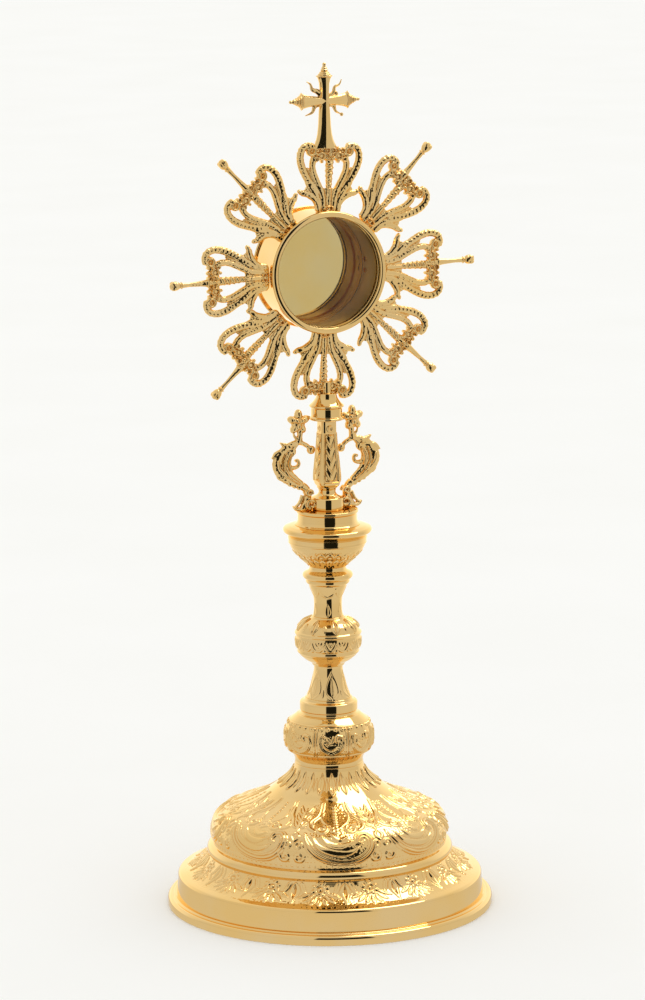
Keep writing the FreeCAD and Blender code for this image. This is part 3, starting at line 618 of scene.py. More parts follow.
def dome_relief(along, radius, columns):
    """Dome: a broad C-scroll in each cell, curls between cells, scroll frames and fronds up the shoulder."""
    relief = Relief(DOME_CELLS, columns, along, radius)
    ref = DOME_RADIUS
    half = math.pi / DOME_CELLS * ref
    smile = [(-14.2, 16.0), (-12.6, 11.4), (-8.6, 6.8), (-2.5, 4.0), (4.0, 3.3), (9.5, 4.8), (13.2, 8.2)]
    smile += [(13.9, 12.0), (11.6, 14.6), (8.8, 13.8), (8.2, 11.3), (10.0, 10.2)]
    relief.ridge(smile, ref, 1.5, 0.75, (0.12, 0.08), "ribbon")
    relief.ridge([(-10.6, 14.2), (-7.4, 9.6), (-1.5, 7.2), (4.2, 7.0), (8.6, 9.2)], ref, 1.15, 0.65, (0.35, 0.35), "slope")
    relief.ridge([(-6.8, 14.6), (-3.4, 10.8), (1.6, 9.9), (6.2, 11.8)], ref, 1.05, 0.6, (0.35, 0.35), "slope")
    relief.ridge([(-2.6, 15.6), (0.8, 12.9), (4.6, 14.2)], ref, 0.9, 0.5, (0.4, 0.4), "slope")
    for side in (-1, 1):
        edge = side * half
        relief.ridge(spiral(edge - side * 2.8, 5.2, 2.1, 0.6, 90 + side * 90, side * 380), ref, 0.55, 0.4)
        relief.ridge(spiral(edge - side * 2.3, 9.6, 1.8, 0.5, 90 + side * 90, -side * 380), ref, 0.5, 0.4)
        relief.ridge([(edge, 11.2), (edge - side * 1.6, 13.8), (edge - side * 0.2, 16.0)], ref, 0.6, 0.4, (0.2, 0.3))
    relief.beads([(-half, 1.4), (half, 1.4)], ref, 2.2, 0.5, 0.2)
    relief.matting(2.4, 17.0, ref, 1.3, 0.45, 0.07)
    # shoulder: panels framed by scrolls, a beaded stalk with its flower, fronds along the seams between cells
    frame_left = [(-9.5, 16.8), (-13.0, 19.4), (-13.4, 23.6), (-10.6, 27.0), (-9.2, 31.0), (-8.4, 35.0)]
    for side in (-1, 1):
        relief.ridge([(side * -x, y) for x, y in frame_left], ref, 0.8, 0.38, (0.1, 0.3), "round")
        relief.ridge([(side * (-x - 2.0), y) for x, y in frame_left[1:]], ref, 0.45, 0.2, (0.2, 0.3))
        relief.ridge(spiral(side * 7.0, 18.4, 2.8, 0.8, 90 + side * 30, side * 400), ref, 0.7, 0.4)
        relief.ridge([(side * 2.8, 20.4), (side * 5.6, 22.8), (side * 7.4, 26.4), (side * 6.2, 30.0)],
                     ref, 0.6, 0.28, (0.3, 0.4))
        for rise, lean in ((18.6, 3.8), (23.0, 4.4), (27.4, 4.4)):
            start = side * half
            relief.ridge([(start, rise), (start - side * lean * 0.6, rise + 1.8), (start - side * lean, rise + 5.2)],
                         ref, 1.2, 0.36, (0.25, 0.5), "leaf")
    relief.ridge([(half, 16.4), (half, 23.0), (half, 31.5)], ref, 0.8, 0.34, (0.1, 0.3))
    relief.bead(0, 18.6, ref, 1.1, 0.4)
    for a in np.radians(np.arange(30, 390, 60)):
        relief.bead(2.1 * math.cos(a), 18.6 + 1.9 * math.sin(a), ref, 0.95, 0.3)
    relief.beads([(0, 22.0), (0, 32.5)], ref, 1.7, 0.75, 0.35)
    relief.matting(17.4, 35.0, 38.0, 1.5, 0.4, 0.04)
    return relief.all_round()


def neck_relief(along, radius, columns):
    """Upright flutes up the neck, every second one shorter."""
    relief = Relief(24, columns, along, radius)
    ref = 18.0
    relief.ridge([(0, 0.8), (0, 5.0), (0, 10.4)], ref, 1.35, 0.5, (0.3, 0.4), "leaf")
    relief.ridge([(math.pi / 24 * ref, 2.6), (math.pi / 24 * ref, 8.6)], ref, 0.5, 0.3, (0.3, 0.4))
    return relief.all_round()


def foot_rim():
    rim = Outline(60.2, 0.0).line((64.4, 0.0)).arc((64.85, 0.15), (65.0, 0.6)).line((65.0, 2.4))
    rim.arc((64.55, 3.5), (63.5, 3.95)).line((62.9, 3.9)).arc((62.5, 4.4), (61.9, 4.4)).line((60.2, 4.4))
    turned("foot_rim", rim, 768, [(60.2, 1.6), (57.5, 1.6), (57.5, 0.0)], wobble=0.05)


def foot_shell():
    shell = Outline(61.4, 0.0).line((60.75, 7.2)).arc((60.6, 8.25), (60.0, 8.75)).mark("border")
    shell.curve((56.3, 9.9), (52.5, 11.9), (49.9, 14.2), (48.3, 16.6)).mark("border_top")
    shell.curve((48.95, 17.6), (48.95, 19.0), (48.1, 20.1), (46.6, 20.8)).mark("dome")
    shell.curve((46.5, 22.2), (47.0, 24.4), (47.1, 26.6), (46.4, 29.3), (44.9, 31.5), (42.2, 33.6), (37.6, 35.7),
                (32.3, 37.7), (27.8, 39.7), (24.4, 41.7), (21.3, 43.9)).mark("dome_top")
    shell.curve((18.5, 45.9), (16.2, 48.0), (14.7, 50.0), (13.9, 51.8)).mark("neck_top").line((13.7, 53.1))
    wall = 1.0
    r, z, out, up, _, _ = shell.rows()
    inside = list(zip(r - wall * out, z - wall * up))[-6:0:-6]
    low = [(ROD_BORE, 53.1), (ROD_BORE, 51.7), (12.7, 51.7)]
    reliefs = (("border", "border_top", border_relief), ("dome", "dome_top", dome_relief),
               ("dome_top", "neck_top", neck_relief))
    turned("foot_shell", shell, 1152, low + inside + [(60.4, 0.0)], "gilt_chased", reliefs,
           facing_cell(DOME_CELLS), 0.06)


# ---------------------------------------------------------------- stem
KNOP_CELLS = 8


def knop_relief(along, radius, columns):
    """Knop: upright divided panels, each with a U-shaped scroll that curls in at both ends, and a bead ring."""
    relief = Relief(KNOP_CELLS, columns, along, radius)
    ref = 17.7
    half = math.pi / KNOP_CELLS * ref
    bow = [(-2.2, 9.2), (-4.4, 9.6), (-5.2, 7.2), (-4.0, 4.0), (-0.6, 2.2), (3.0, 3.4), (4.9, 6.4), (4.2, 9.2)]
    relief.ridge(bow, ref, 0.72, 0.62, (0.15, 0.15), "ribbon")
    relief.ridge([(4.2, 9.2), (2.2, 9.6), (1.6, 8.0), (2.8, 7.2)], ref, 0.55, 0.6, (0.0, 0.2))
    relief.ridge([(-2.8, 8.0), (-3.0, 6.2), (-0.8, 4.5), (1.6, 5.2)], ref, 0.55, 0.55, (0.2, 0.3), "slope")
    relief.fan(-0.6, 6.6, ref, 3.2, 50, 160, 3, 0.5, 0.5, 20)
    for side in (-1, 1):
        relief.ridge([(side * (half - 0.55), 1.2), (side * (half - 0.55), 11.0)], ref, 0.26, 0.4)
    relief.ridge([(-half, 0.7), (half, 0.7)], ref, 0.35, 0.3)
    relief.matting(1.2, 10.6, ref, 1.05, 0.36, 0.1)
    relief.beads([(-half, 12.3), (half, 12.3)], ref * 0.88, 2 * half * 0.88 / 4, 0.72, 0.55)
    relief.ridge([(-half, 13.4), (half, 13.4)], ref, 0.3, 0.25)
    return relief.all_round()


def lower_vase_relief(along, radius, columns):
    """Tall leaves up the vase: thin rimmed edges, a vein, and a small dart between two leaves."""
    relief = Relief(6, columns, along, radius)
    ref = 7.2
    half = math.pi / 6 * ref
    for side in (-1, 1):
        relief.ridge([(side * 0.5, 0.6), (side * 2.5, 3.4), (side * 2.1, 7.4), (0, 11.6)], ref, 0.36, 0.2)
    relief.ridge([(0, 1.2), (0, 5.0), (0, 9.6)], ref, 0.6, 0.22, (0.3, 0.5), "leaf")
    relief.ridge([(half, 1.0), (half, 4.6)], ref, 0.5, 0.2, (0.3, 0.4), "leaf")
    return relief.all_round()


def node_band_relief(along, radius, columns):
    """Middle node's band: a run of small scallops, each with a dot under it."""
    relief = Relief(16, columns, along, radius)
    ref = 12.8
    half = math.pi / 16 * ref
    relief.ridge([(-half, 4.6), (-half * 0.6, 2.2), (0, 1.3), (half * 0.6, 2.2), (half, 4.6)], ref, 0.34, 0.32)
    relief.ridge([(-half * 0.5, 4.8), (0, 3.1), (half * 0.5, 4.8)], ref, 0.3, 0.26)
    relief.bead(0, 4.7, ref, 0.42, 0.3)
    relief.bead(half, 1.4, ref, 0.5, 0.3)
    return relief.all_round()


def node_dome_relief(along, radius, columns):
    """Middle node's top: pointed leaves that flow up into the vase."""
    relief = Relief(8, columns, along, radius)
    ref = 10.5
    half = math.pi / 8 * ref
    relief.ridge([(0, 0.5), (0, 3.4), (0, 7.4)], ref, 1.9, 0.6, (0.3, 0.7), "leaf")
    relief.groove([(0, 1.0), (0, 6.6)], ref, 0.25, 0.25)
    relief.ridge([(half, 1.2), (half, 4.6)], ref, 0.7, 0.4, (0.4, 0.5), "leaf")
    return relief.all_round()


def upper_vase_relief(along, radius, columns):
    """Upper vase: low upright leaves below, thin pendant loops at the flaring top."""
    relief = Relief(6, columns, along, radius)
    ref = 5.8
    half = math.pi / 6 * ref
    relief.ridge([(0, 0.4), (0, 2.8), (0, 5.4)], ref, 1.4, 0.2, (0.3, 0.6), "leaf")
    for side in (-1, 1):
        relief.ridge([(side * half, 12.6), (side * half * 0.75, 9.6), (0, 8.2)], ref, 0.35, 0.16, (0.1, 0.3))
    return relief.all_round()


def cup_relief(along, radius, columns):
    """Short upright flutes at the cup's foot, a ring of small arches, a matted zone and a line under the lip."""
    relief = Relief(24, columns, along, radius)
    ref = 13.0
    half = math.pi / 24 * ref
    relief.ridge([(0, 0.8), (0, 3.0), (0, 5.6)], ref, 1.15, 0.5, (0.25, 0.3))
    arch = [(-half, 6.6), (-half * 0.7, 8.4), (0, 9.4), (half * 0.7, 8.4), (half, 6.6)]
    relief.ridge(arch, ref, 0.36, 0.3)
    relief.bead(0, 7.2, ref, 0.6, 0.28)
    relief.ridge([(-half, 12.9), (half, 12.9)], ref, 0.28, 0.25)
    relief.matting(9.6, 12.6, ref, 0.8, 0.3, 0.06)
    return relief.all_round()


def neck_collar():
    collar = Outline(13.7, 0.0).curve((13.6, 1.5), (14.3, 3.4), (15.7, 5.0))
    turned("neck_collar", collar, 512, bored(5.0), wobble=0.05)


def lower_knop():
    knop = Outline(15.2, 0.0).line((16.0, 0.0)).mark("belly")
    knop.curve((17.1, 1.8), (17.7, 4.3), (17.7, 6.9), (17.1, 9.8), (15.6, 12.5), (12.6, 15.0)).mark("top")
    turned("lower_knop", knop, 576, bored(15.0), "gilt_chased", [("belly", "top", knop_relief)],
           facing_cell(KNOP_CELLS))


def knop_ring():
    ring = Outline(12.1, 0.0).curve((11.2, 0.5), (11.1, 1.4)).line((11.5, 1.7), (11.5, 4.5))
    ring.arc((11.2, 5.1), (10.5, 5.3)).curve((9.7, 5.7), (9.4, 6.5))
    turned("knop_ring", ring, 384, bored(6.5))


def lower_vase():
    vase = Outline(9.1, 0.0).mark("low")
    vase.curve((8.0, 2.0), (7.2, 4.2), (6.6, 6.6), (6.0, 9.4), (5.7, 12.0), (5.8, 13.2)).mark("top")
    turned("lower_vase", vase, 288, bored(13.2), "gilt_chased", [("low", "top", lower_vase_relief)],
           facing_cell(6) + 8)


def middle_node():
    node = Outline(6.3, 0.0).curve((7.2, 1.2), (9.2, 2.4), (11.3, 4.2)).line((11.8, 5.0)).arc((12.4, 5.7), (12.2, 6.4))
    node.mark("band").curve((12.8, 7.8), (13.1, 10.0), (12.9, 12.4)).mark("band_top").line((13.2, 12.8))
    node.arc((13.3, 13.4), (12.9, 13.9)).line((12.6, 14.1)).mark("dome")
    node.curve((11.9, 15.8), (10.3, 17.4), (8.3, 18.4), (6.8, 19.1), (6.3, 19.8)).mark("top")
    reliefs = (("band", "band_top", node_band_relief), ("dome", "top", node_dome_relief))
    turned("middle_node", node, 384, bored(19.8), "gilt_chased", reliefs, facing_cell(16))


def upper_vase():
    vase = Outline(6.1, 0.0).mark("low")
    vase.curve((5.7, 1.8), (5.55, 4.5), (5.65, 7.2), (6.2, 9.4), (7.0, 11.3), (7.6, 13.0)).mark("top")
    turned("upper_vase", vase, 288, bored(13.0), "gilt_chased", [("low", "top", upper_vase_relief)],
           facing_cell(6) - 6)


def disc_collar():
    disc = Outline(7.3, 0.0).arc((8.6, 0.7), (8.6, 1.9)).line((8.9, 2.2)).arc((10.0, 3.6), (8.9, 5.0))
    disc.curve((7.8, 5.6), (7.3, 6.4), (7.3, 7.3))
    turned("disc_collar", disc, 384, bored(7.3))


def cup():
    bowl = Outline(7.3, 0.0).mark("low")
    bowl.curve((8.2, 1.3), (10.2, 3.1), (12.6, 5.2), (14.4, 7.5), (15.4, 9.9), (15.7, 12.0)).mark("brim")
    bowl.line((15.3, 12.3)).curve((15.9, 13.0), (16.9, 13.7)).arc((17.6, 14.8), (16.9, 15.8))
    bowl.line((15.0, 16.4), (12.0, 16.9))
    turned("cup", bowl, 576, bored(16.9), "gilt_chased", [("low", "brim", cup_relief)], facing_cell(24))


def cup_collar():
    collar = Outline(13.0, 0.0).curve((12.2, 0.6), (11.8, 1.7)).line((11.75, 4.4)).arc((12.3, 5.2), (11.9, 6.0))
    collar.line((10.0, 6.0), (6.0, 6.0))
    turned("cup_collar", collar, 384, bored(6.0))


def bracket_plinth():
    plinth = Outline(6.3, 0.0).line((6.6, 0.4), (6.6, 3.6)).arc((6.4, 4.5), (5.6, 5.0))
    plinth.curve((4.2, 5.6), (3.4, 6.7), (3.6, 8.0), (4.2, 8.8))
    turned("bracket_plinth", plinth, 288, [(0.4, 8.8), (0.4, 0.0)])


def baluster_cap():
    cap = Outline(1.5, 0.0).line((5.2, 0.0), (6.8, 0.4)).arc((7.1, 0.9), (6.8, 1.4)).line((6.2, 1.8), (6.2, 5.0))
    cap.line((6.7, 5.5)).arc((6.9, 6.0), (6.5, 6.4)).curve((5.4, 7.5), (4.3, 9.1), (3.9, 10.9))
    cap.line((1.9, 11.0), (1.9, 15.3))
    turned("baluster_cap", cap, 288, [(1.5, 15.3)])


def baluster():
    """Square pear-shaped shaft with a rimmed, recessed field of slanting leaves on each face."""
    low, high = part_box("baluster")
    rows, columns = 150, 256
    t = np.linspace(0, 1, rows)
    height = (high.z - low.z) / MM
    heights = np.array([0, 1.3, 4.0, 9.0, 15.0, 21.0, 26.6])
    halves = np.array([3.4, 4.3, 4.6, 4.25, 3.7, 3.3, 3.2])
    half = np.interp(t * height, *spline(np.stack([heights, halves], axis=1), 0.2).T)
    angle = np.arange(columns) / columns * 2 * math.pi
    squareness = 5.0
    reach = 1 / (np.abs(np.cos(angle)) ** squareness + np.abs(np.sin(angle)) ** squareness) ** (1 / squareness)
    radius = half[:, None] * reach[None, :]
    around = (angle + math.pi / 4) % (math.pi / 2) - math.pi / 4
    u = np.tan(around)[None, :] * np.ones((rows, 1))
    z = (t * height)[:, None]
    field_low, field_high, field_half = 2.6, 21.5, 0.66
    edge = np.minimum(field_half - np.abs(u), np.minimum(z - field_low, field_high - z) / 4.0)
    recess = -0.42 * np.clip((edge + 0.02) / 0.06, 0, 1)
    rim = 0.28 * np.exp(-((edge + 0.03) / 0.07) ** 2)
    inside = np.clip((edge - 0.05) / 0.1, 0, 1)
    strokes = 0.35 * inside * np.clip(np.sin((z - 2.2 * np.abs(u) * half[:, None]) * 1.3) * 1.6 - 0.6, 0, 1)
    pillow = 0.85 * np.cos(math.pi / 2 * np.clip(u / field_half, -1, 1)) * np.clip(edge / 0.2, 0, 1)
    ring = 0.35 * np.exp(-((np.hypot(u * half[:, None], z - 23.6) - 0.9) / 0.32) ** 2)
    fade = np.clip(np.minimum(z, height - z) / 0.8, 0, 1)
    radius = radius + (recess + rim + strokes + pillow + ring) * fade
    x, y = radius * np.cos(angle), radius * np.sin(angle)
    vertices = np.stack([x, y, z + low.z / MM + 0 * x], axis=-1)
    bore = np.stack([0.4 * np.cos(angle), 0.4 * np.sin(angle), np.zeros(columns)], axis=-1)
    top, bottom = bore + (0, 0, high.z / MM), bore + (0, 0, low.z / MM)
    vertices = np.concatenate([vertices.reshape(-1, 3), top, bottom])
    piece("baluster_chased", mesh_from("baluster_chased", vertices, ring_faces(rows + 2, columns)), "gilt_chased",
          "baluster")


# ---------------------------------------------------------------- castings
# How the castings were fitted by hand: extra turn round the case in degrees and shift outwards in millimetres.
HAND_FIT = {
    "top": (2.6, 0.2), "upper_right": (0.4, 1.8), "right": (-0.3, 0.0), "lower_right": (-2.6, -0.9),
    "bottom": (1.8, 0.0), "lower_left": (2.4, 3.0), "left": (-1.4, 1.4), "upper_left": (1.1, -0.5),
}
RAY_LEAN = {"upper_right": -2.0, "right": -1.0, "lower_right": -2.6, "lower_left": 0.8, "left": -1.6, "upper_left": 1.0}
HAMMERED = ((1.1, 0.09), (2.4, 0.04))


def scroll_bracket():
    """Right-hand bracket: toe, leg, broad folded leaf, hooked inner scroll, bud and a blossom on top."""
    c = Casting()
    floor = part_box("scroll_bracket_right")[0].z / MM - 160.25

    def at(*points):
        return [(x, z + floor) for x, z in points]

    # foot: flat toe, leg, and small scrolls on both faces where the leg meets the drum
    c.tube(at((7.0, 160.9), (10.4, 160.9), (13.4, 161.2), (14.6, 162.5)), [(0, 0.8), (0.7, 0.9), (1, 0.25)], 1.4)
    c.tube(at((10.2, 160.9), (9.1, 163.0), (8.2, 165.8), (8.6, 168.4), (10.6, 170.4)),
           [(0, 2.0), (0.3, 1.6), (0.7, 1.6), (1, 1.7)], 1.5)
    c.tube(at((13.6, 162.0), (11.8, 163.6), (10.4, 166.4)), [(0, 0.5), (1, 0.8)], 1.0)
    for face in (-1.6, 1.6):
        c.tube(at(*spiral(7.2, 162.6, 2.0, 0.8, -60, 400)), 0.7, 0.9, y=face)
        c.tube(at(*spiral(8.0, 167.2, 1.4, 0.6, 200, -380)), 0.6, 0.7, y=face)
    # the leaf: an outer and an inner lobe with a fold between them, veins on both faces
    outer = at((11.4, 188.2), (14.6, 187.0), (17.8, 184.9), (20.1, 181.8), (20.3, 178.4), (18.5, 175.2), (15.6, 172.6),
               (12.2, 170.8), (9.4, 169.6))
    inner = at((11.4, 187.6), (13.4, 185.8), (15.6, 183.4), (16.7, 180.6), (16.6, 178.0), (15.3, 175.4), (13.0, 173.2),
               (10.4, 171.2))
    c.tube(outer, [(0, 0.8), (0.2, 1.6), (0.45, 2.3), (0.65, 2.0), (1, 1.1)], [(0, 1.1), (0.5, 1.7), (1, 1.3)])
    c.tube(inner, [(0, 0.7), (0.3, 1.7), (0.6, 1.9), (1, 0.9)], [(0, 1.0), (0.5, 1.3), (1, 1.1)])
    for way in (
        ((14.6, 186.2), (17.0, 187.0), (19.0, 188.4)), ((18.2, 184.6), (20.8, 184.0), (22.8, 182.4)),
        ((19.0, 176.6), (20.0, 174.8), (19.0, 173.2)), ((14.0, 185.6), (13.6, 184.0), (14.2, 182.4)),
    ):
        c.tube(at(*way), [(0, 1.5), (0.5, 1.2), (1, 0.3)], [(0, 1.5), (1, 0.8)])
    for face in (-1.4, 1.4):
        for way in (((12.0, 171.4), (16.6, 175.2), (18.2, 179.4), (17.0, 184.0)), ((17.0, 174.6), (20.2, 178.4), (20.6, 181.6)),
                    ((15.4, 177.0), (16.0, 180.0), (14.6, 183.6))):
            c.tube(at(*way), [(0, 0.4), (0.5, 0.65), (1, 0.3)], 0.75, y=face)
    c.tube(at((15.8, 180.6), (15.2, 178.4), (13.0, 177.8), (11.5, 179.0), (11.9, 180.7), (13.1, 180.4)),
           [(0, 1.0), (0.5, 0.8), (1, 0.6)], 1.1)
    c.tube(at((13.6, 187.0), (10.8, 187.6), (8.2, 186.4), (6.4, 184.8)), [(0, 1.2), (0.6, 0.95), (1, 0.9)], 1.1)
    c.bead(6.0, 184.2 + floor, 1.8, 1.8, 1.5).bead(6.0, 184.2 + floor, 0.7, 0.7, 2.0)
    for x, z in ((11.8, 169.6), (13.6, 170.4), (15.6, 171.4)):
        c.bead(x, z + floor, 1.0, 0.95, 1.4)
    # stem and blossom: broad petals round a small heart, tied to the cap by a tendril
    c.tube(at((11.2, 187.4), (10.6, 190.0), (10.4, 193.2)), [(0, 1.6), (0.5, 1.1), (1, 1.4)], [(0, 1.3), (1, 1.4)])
    c.tube(at((10.9, 188.6), (12.6, 190.0), (13.2, 191.6)), [(0, 0.9), (1, 0.3)], [(0, 1.1), (1, 0.7)])
    c.tube(at((10.6, 196.6), (8.2, 197.4), (6.2, 197.0)), 0.9, 1.0)
    heart_x, heart_z = 11.0, 195.8 + floor
    c.bead(heart_x, heart_z, 3.1, 3.3, 1.9)
    for count, reach, size, thick, y in ((5, 2.6, 2.2, 2.0, 0.0), (3, 1.3, 1.3, 1.1, -1.6), (3, 1.3, 1.3, 1.1, 1.6)):
        for k in range(count):
            a = 2 * math.pi * (k + 0.3) / count
            c.bead(heart_x + reach * math.cos(a), heart_z + reach * 1.15 * math.sin(a), size, size * 0.72, thick,
                   math.degrees(a), y)
    skin = c.melted("scroll_bracket", 0.18, 5)
    cast("scroll_bracket_right", skin, Matrix.Identity(4))
    foot = Matrix.Translation((8 * MM, 0, (161 + floor) * MM))
    lean = foot @ Matrix.Rotation(math.radians(2.0), 4, "Y") @ foot.inverted()
    cast("scroll_bracket_left", skin, Matrix.Scale(-1, 4, (1, 0, 0)) @ lean, flipped=True)


def palmette():
    """Heart-shaped openwork palmette, drawn upright: (across, out from the case's axis)."""
    c = Casting()
    # notched band, ending in a curl with an eye
    band = [(4.6, 30.6), (6.4, 32.6), (8.8, 35.6), (10.9, 39.2), (12.2, 42.6), (12.4, 45.6), (11.3, 48.2), (9.3, 49.2),
            (7.2, 48.9)]
    c.tube(band, [(0, 1.3), (0.5, 1.6), (1, 1.25)], 1.25)
    bars = spline([(u + 0.35, v + 0.1) for u, v in band[1:]], 1.75)
    heading = np.gradient(bars, axis=0)
    for (u, v), (du, dv) in zip(bars, heading):
        size = math.hypot(du, dv)
        c.bead(u, v, 1.3, 0.88, 1.5, math.degrees(math.atan2(dv, du)) + 58)
    c.tube(spiral(7.9, 47.0, 1.5, 1.5, 90, 340), 0.7, 1.45)
    c.bead(7.9, 47.0, 0.6, 0.6, 1.5)
    # inner strut, and the web with its vein between strut and band
    c.tube([(2.8, 30.6), (4.9, 34.8), (6.7, 38.8), (7.2, 42.0), (6.4, 44.8)], [(0, 1.4), (0.6, 1.3), (1, 1.4)], 1.4)
    c.tube([(4.4, 31.4), (6.8, 35.6), (8.8, 39.0), (9.5, 40.6)], [(0, 1.4), (0.7, 1.2), (1, 0.5)], 0.5)
    c.tube([(5.4, 33.0), (7.4, 36.6), (8.9, 40.0)], [(0, 0.45), (1, 0.4)], 1.0)
    # crosspiece: a plate crowded with eyes and beads
    c.tube([(0, 45.7), (4.0, 45.6), (7.0, 45.4)], [(0, 2.5), (0.6, 2.2), (1, 1.6)], 0.7)
    for u, v, size in ((3.7, 45.2, 1.35), (1.2, 47.3, 1.0), (5.9, 43.9, 0.85)):
        c.tube(spiral(u, v, size, size, 0, 340), size * 0.42, 1.6)
    for u, v, size in ((1.4, 44.3, 1.1), (5.9, 45.9, 0.9), (3.6, 47.9, 1.0), (3.4, 43.0, 0.8), (5.6, 48.0, 0.7)):
        c.bead(u, v, size, size * 0.85, 1.65, 30 * u)
    # solid stem whose ribs fan out into two blunt arms on either side
    for way, width in (
        (((2.0, 22.8), (2.2, 26.0), (2.7, 29.6), (4.0, 32.6)), 0.95),
        (((3.7, 23.0), (3.9, 26.0), (5.2, 29.6), (7.4, 32.6), (9.6, 35.2)), 1.0),
        (((4.3, 23.6), (4.6, 26.2), (5.9, 28.4), (8.6, 30.2), (12.2, 30.8)), 1.05),
    ):
        c.tube(way, [(0, width), (0.6, width * 1.45), (0.9, width * 1.2), (1, 0.7)],
               [(0, 1.2), (0.8, 1.4), (1, 0.9)])
    c.tube([(6.0, 29.8), (8.0, 31.4), (9.8, 32.6)], [(0, 1.6), (1, 0.7)], 0.7)
    c.bead(12.1, 31.2, 1.25, 0.95, 1.2, 20)
    c.mirror()
    c.tube([(0, 22.6), (0, 27.0), (0, 32.6)], [(0, 4.2), (0.5, 4.4), (1, 2.4)], 0.7)
    c.tube([(0, 22.8), (0, 27.0), (0, 32.5)], [(0, 0.9), (0.6, 1.25), (1, 0.9)], 1.4)
    c.tube([(1.8 * math.cos(a), 24.7 + 0.9 * math.sin(a)) for a in np.radians(np.arange(0, 361, 30))], 0.4, 1.9)
    # twisted middle bar, growing wider towards the crosspiece
    c.tube([(0, 31.0), (0, 36.0), (0, 43.5)], [(0, 1.1), (0.4, 1.35), (1, 1.7)], [(0, 0.9), (1, 1.1)])
    for k in range(5):
        wide = min(1.45 + 0.2 * k, 2.0)
        c.bead(0, 33.8 + 2.05 * k, wide, 0.95, 0.7 + 0.5 * wide, 28)
    c.bead(0, 45.6, 1.0, 1.2, 1.8).bead(0, 48.2, 1.3, 0.9, 1.4)
    skin = c.melted("palmette", 0.17, 5)
    for i, (place, (turn, out)) in enumerate(HAND_FIT.items()):
        fit = head_turn(45.0 * i + turn) @ Matrix.Translation((0, 0, min(out, 2.0) * MM))
        cast("palmette_" + place, skin, fit)


def head_turn(degrees):
    """From upright above the origin to a place round the case, clockwise seen from the front."""
    return Matrix.Translation((0, 0, HEAD_Z * MM)) @ Matrix.Rotation(math.radians(degrees), 4, "Y")


def ray():
    """Tapering ray with a ringed foot and a faceted bud at its tip."""
    c = Casting()
    c.tube([(0, 42.5), (0, 48.0), (0, 51.0), (0, 55.0), (0, 60.0)],
           [(0, 0.9), (0.3, 1.6), (0.48, 1.15), (0.75, 0.85), (1, 1.1)],
           [(0, 0.9), (0.3, 1.5), (0.48, 1.05), (0.75, 0.8), (1, 1.0)], sides=16)
    c.bead(0, 48.2, 1.9, 0.6, 1.7).bead(0, 59.2, 1.5, 0.45, 1.4)
    c.bead(0, 61.8, 1.9, 2.3, 1.8)
    for k in range(4):
        a = math.pi * (k + 0.5) / 2
        c.bead(1.15 * math.cos(a), 62.4, 0.95, 1.35, 0.95, -8 * math.cos(a), 1.15 * math.sin(a))
    skin = c.melted("ray", 0.14, 3, 0.4)
    for i, (place, (turn, out)) in enumerate(HAND_FIT.items()):
        if place not in ("top", "bottom"):
            cast("ray_" + place, skin, head_turn(45.0 * i + RAY_LEAN[place]) @ Matrix.Translation((0, 0, out * MM)))


def cross():
    """Latin cross: bars with a ridged front and flaring ends, stepped cones on the ends, flames between."""
    c = Casting()
    middle = 66.9
    c.tube([(0, 44.5), (0, 48.5)], 0.95, 0.95)
    bar_section(c, [(48.4, 5.2), (49.4, 4.7), (50.4, 4.1), (51.8, 3.5), (54.0, 2.95), (57.5, 2.55), (62.0, 2.3),
                    (66.9, 1.95), (71.0, 1.85), (73.7, 2.05), (75.3, 2.5), (76.3, 3.1)], lambda s: (0, s))
    for side in (-1, 1):
        bar_section(c, [(-0.5, 1.5), (2.0, 1.6), (4.5, 1.95), (7.0, 2.3), (8.6, 2.7), (9.5, 3.1)],
                    lambda s, side=side: (side * s, middle))
    for turn, start in ((0, 76.3 - middle), (90, 9.5), (-90, 9.5)):
        a = math.radians(turn)
        for out, width, thick in ((0.2, 3.6, 0.55), (0.9, 2.6, 0.45), (1.6, 2.05, 0.5), (2.5, 1.6, 0.5),
                                  (3.3, 1.2, 0.45), (3.9, 0.8, 0.4), (4.7, 0.75, 0.75)):
            reach = start + out
            c.bead(reach * math.sin(a), middle + reach * math.cos(a), width, thick, min(width, 2.4), -turn)
    flames = {
        -45: ([(0.9, 1.6), (0.5, 4.6), (-0.4, 6.8), (0.5, 8.8), (0.1, 10.8)], 1.5),
        43: ([(0.2, 1.6), (0.8, 4.6), (-0.3, 6.8), (0.5, 8.8), (-0.2, 10.9)], 1.2),
        128: ([(0.0, 1.6), (-0.7, 4.2), (0.4, 6.4), (0.0, 8.9)], 1.3),
        234: ([(0.2, 1.6), (0.7, 4.4), (-0.5, 6.8), (0.3, 9.9)], 1.3),
    }
    for turn, (way, width) in flames.items():
        a = math.radians(turn)
        placed = [(x * math.cos(a) + r * math.sin(a), middle - x * math.sin(a) + r * math.cos(a)) for x, r in way]
        c.tube(placed, [(0, width), (0.45, width * 0.62), (1, 0.18)], [(0, 0.9), (1, 0.35)], "ridge")
    curl = math.radians(43)
    c.tube([(x * math.cos(curl) + r * math.sin(curl), middle - x * math.sin(curl) + r * math.cos(curl))
            for x, r in ((0.4, 3.4), (1.8, 4.0), (2.3, 5.4), (1.3, 5.8))], [(0, 0.6), (1, 0.4)], 0.7)
    ball = math.radians(128)
    c.bead(9.2 * math.sin(ball), middle + 9.2 * math.cos(ball), 0.75, 0.75, 0.75)
    skin = c.melted("cross", 0.15, 2, 0.15)
    cast("cross", skin, head_turn(0))


